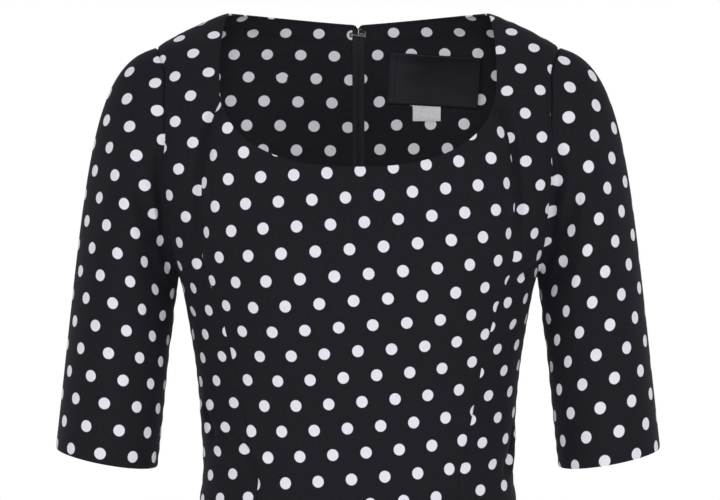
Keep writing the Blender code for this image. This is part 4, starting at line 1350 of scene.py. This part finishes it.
def add_wire(body, points, radius, sides=10):
    """Round wire along a line of points, its ends domed."""
    line = np.array(points, float)
    ahead = unit(np.gradient(line, axis=0))
    side = np.cross(ahead[0], (0.0, 0.0, 1.0))
    side = side if np.linalg.norm(side) > 0.1 else np.cross(ahead[0], (0.0, 1.0, 0.0))
    angle = circle(sides)[:, None]
    rings = []
    for point, way in zip(line, ahead):
        side = side - np.dot(side, way) * way
        side = side / np.linalg.norm(side)
        rings.append(point + radius * (np.cos(angle) * side + np.sin(angle) * np.cross(way, side)))
    first, last = [], []
    for reach, size in WIRE_DOME:
        first.append(line[0] + (rings[0] - line[0]) * size - radius * reach * ahead[0])
        last.append(line[-1] + (rings[-1] - line[-1]) * size + radius * reach * ahead[-1])
    add_rings(body, first + rings + last[::-1])


def metal_piece(name, node, body_name, body, place, look):
    bmesh.ops.recalc_face_normals(body, faces=body.faces)
    mesh = bpy.data.meshes.new(name)
    body.to_mesh(mesh)
    body.free()
    mesh.transform(place)
    mesh.materials.append(look)
    smooth_but_sharp(mesh, 50)
    declare(add_object(name, mesh), node, body_name)


def set_at(point, x, y, z):
    """A frame at a point, from its three directions."""
    return Matrix.Translation(point) @ Matrix((x, y, z)).transposed().to_4x4()


def zip_head(look):
    """The slider with its two ears and pin, and the pull that hangs from the pin."""
    normal = body_normal(math.pi, SLIDER_Z)
    across = np.array((1.0, 0.0, 0.0))
    down = np.cross(normal, across)
    if down[2] > 0:
        across, down = -across, -down
    place = set_at(body_point(math.pi, SLIDER_Z) + SLIDER_LIFT * normal, across, down, normal)
    body = bmesh.new()
    add_bar(body, SLIDER_STATIONS, power=5.0)
    for side in (LEFT, RIGHT):
        add_bar(body, EAR_STATIONS, x=side * EAR_X, sides=16)
    add_wire(body, [(x, *PIN_PLACE) for x in np.linspace(-EAR_X, EAR_X, 5)], PIN_RADIUS, sides=14)
    metal_piece("zip_slider_body", "zip_slider", "dress", body, place, look)

    body = bmesh.new()
    rings = [[(x, r * math.cos(t), r * math.sin(t)) for x, r in PULL_RING] for t in circle(32)]
    add_rings(body, rings, closed=True)
    add_bar(body, BLADE_STATIONS)
    add_bar(body, BLADE_PAD_STATIONS)
    metal_piece("zip_pull_tab", "zip_pull", "pull", body,
                place @ Matrix.Translation((0, *PIN_PLACE)), look)


def arc(middle, radius, start, stop, count=14):
    """Points round part of a circle, flat on the cloth."""
    return [(middle[0] + radius * math.cos(a), middle[1] + radius * math.sin(a), 0.0)
            for a in np.radians(np.linspace(start, stop, count))]


def hook_and_eye(wire, thread):
    """Bent wire hook and eye at the top of the zip, each foot whipped down with thread."""
    normal = body_normal(math.pi, HOOK_Z)
    rise = np.cross((1.0, 0.0, 0.0), normal)
    rise = rise if rise[2] > 0 else -rise
    base = body_point(math.pi, HOOK_Z) - (CAD_WALL + HOOK_LIFT) * normal
    place = set_at(base, (1.0, 0.0, 0.0), rise, -normal)
    eye = (arc(EYE_FEET[0], FOOT_RADIUS, -200, 90) + arc(EYE_LOOP, EYE_LOOP_RADIUS, 270, 90)
           + arc(EYE_FEET[1], FOOT_RADIUS, -90, 200))
    (bend, bend_lift), (tip, tip_lift) = HOOK_TIP
    hook = (arc(HOOK_FEET[0], FOOT_RADIUS, 380, 90)
            + [(x, -HOOK_HALF, lift) for x, lift in HOOK_SHANK]
            + [(bend, -HOOK_TIP_HALF, bend_lift), (tip, 0.0, tip_lift), (bend, HOOK_TIP_HALF, bend_lift)]
            + [(x, HOOK_HALF, lift) for x, lift in HOOK_SHANK[::-1]]
            + arc(HOOK_FEET[1], FOOT_RADIUS, 270, -20))
    for name, node, line in (("neck_eye_wire", "neck_eye", eye), ("neck_hook_wire", "neck_hook", hook)):
        body = bmesh.new()
        add_wire(body, line, WIRE_RADIUS)
        metal_piece(name, node, "dress", body, place, wire)
    feet = []
    for middle in EYE_FEET + HOOK_FEET:
        ring = np.array([place @ Vector(p) for p in arc(middle, FOOT_RADIUS, 0, 300, 16)])
        feet.append((ring, np.broadcast_to(-normal, ring.shape)))
    sewn("hook_thread", feet, thread)


# ---- Picture -----------------------------------------------------------------------
def look_at(thing, target):
    thing.rotation_euler = (Vector(target) - thing.location).to_track_quat("-Z", "Y").to_euler()


def camera():
    """The photo's view: level with the chest, a little from above, framed on the bodice."""
    centre = Vector(((PHOTO_CENTRE_PX[0] - DRESS_CENTRE_PX[0]) * METRES_PER_PX, 0,
                     -(PHOTO_CENTRE_PX[1] - DRESS_CENTRE_PX[1]) * METRES_PER_PX))
    data = bpy.data.cameras.new("camera")
    data.sensor_width = SENSOR_WIDTH
    data.lens = SENSOR_WIDTH * CAMERA_DISTANCE / (PHOTO_WIDTH_PX * METRES_PER_PX)
    made = add_object("camera", data)
    made.location = centre + CAMERA_DISTANCE * Vector((0, -math.cos(CAMERA_LIFT), math.sin(CAMERA_LIFT)))
    look_at(made, centre)
    bpy.context.scene.camera = made


def surround():
    """White all round, bright behind the dress and dimmer in front of it."""
    world = bpy.data.worlds.new("white_surround")
    world.use_nodes = True
    tree = world.node_tree
    way = add_node(tree, "ShaderNodeTexCoord").outputs["Generated"]
    depth = add_node(tree, "ShaderNodeSeparateXYZ", [(0, way)]).outputs[1]
    light = add_node(tree, "ShaderNodeMapRange",
                     [("Value", depth), ("From Min", ROOM_FADE[0]), ("From Max", ROOM_FADE[1]),
                      ("To Min", ROOM_LIGHT), ("To Max", 1.0)], interpolation_type="SMOOTHSTEP")
    background = tree.nodes["Background"]
    background.inputs["Color"].default_value = (1, 1, 1, 1)
    tree.links.new(light.outputs[0], background.inputs["Strength"])
    bpy.context.scene.world = world


def studio():
    """Pale floor below the hem, a white surround and soft boxes in front."""
    surround()
    body = bmesh.new()
    bmesh.ops.create_circle(body, cap_ends=True, radius=FLOOR_RADIUS, segments=96)
    mesh = bpy.data.meshes.new("floor")
    body.to_mesh(mesh)
    body.free()
    mesh.materials.append(pale_floor())
    mesh.transform(Matrix.Translation((0, 0, HEM_Z - FLOOR_DROP)))
    add_object("floor", mesh)
    for name, place, size, power in LAMPS:
        data = bpy.data.lights.new(name, "AREA")
        data.shape = "RECTANGLE"
        data.size, data.size_y = size
        data.energy = power
        made = add_object(name, data)
        made.location = place
        look_at(made, CHEST)
    bpy.context.scene.view_settings.view_transform = "Standard"


def main():
    # The inside's finish is a lighter copy of the outside's: painted light on the inside of the dress.
    looks = (polka_cloth("dress_cloth_outside", *CLOTH_OUTSIDE),
             polka_cloth("dress_cloth_inside_painted_light", *CLOTH_INSIDE_WITH_PAINTED_LIGHT))
    front_centre(looks)
    front_side("front_side_left", LEFT, looks)
    front_side("front_side_right", RIGHT, looks)
    backs(looks)
    sleeve("sleeve_left", LEFT, looks)
    sleeve("sleeve_right", RIGHT, looks)
    dark_thread = spun_thread("dark_thread", (0.016, 0.016, 0.021), 0.6)
    zip_tape(plain_weave("tape_weave", (0.0105, 0.0103, 0.0135), 0.8, 0.0007))
    zip_coil(spun_thread("coil_nylon", (0.013, 0.013, 0.017), 0.35))
    neck_label(label_satin())
    size_tag(plain_weave("tag_satin", (0.84, 0.84, 0.88), 0.7, 0.0006))
    sewing(dark_thread, spun_thread("white_thread", (0.62, 0.62, 0.66), 0.6))
    zip_head(worn_metal("zip_metal", (0.045, 0.045, 0.055), 0.4))
    hook_and_eye(worn_metal("hook_wire", (0.30, 0.30, 0.32), 0.3), dark_thread)
    camera()
    studio()


main()
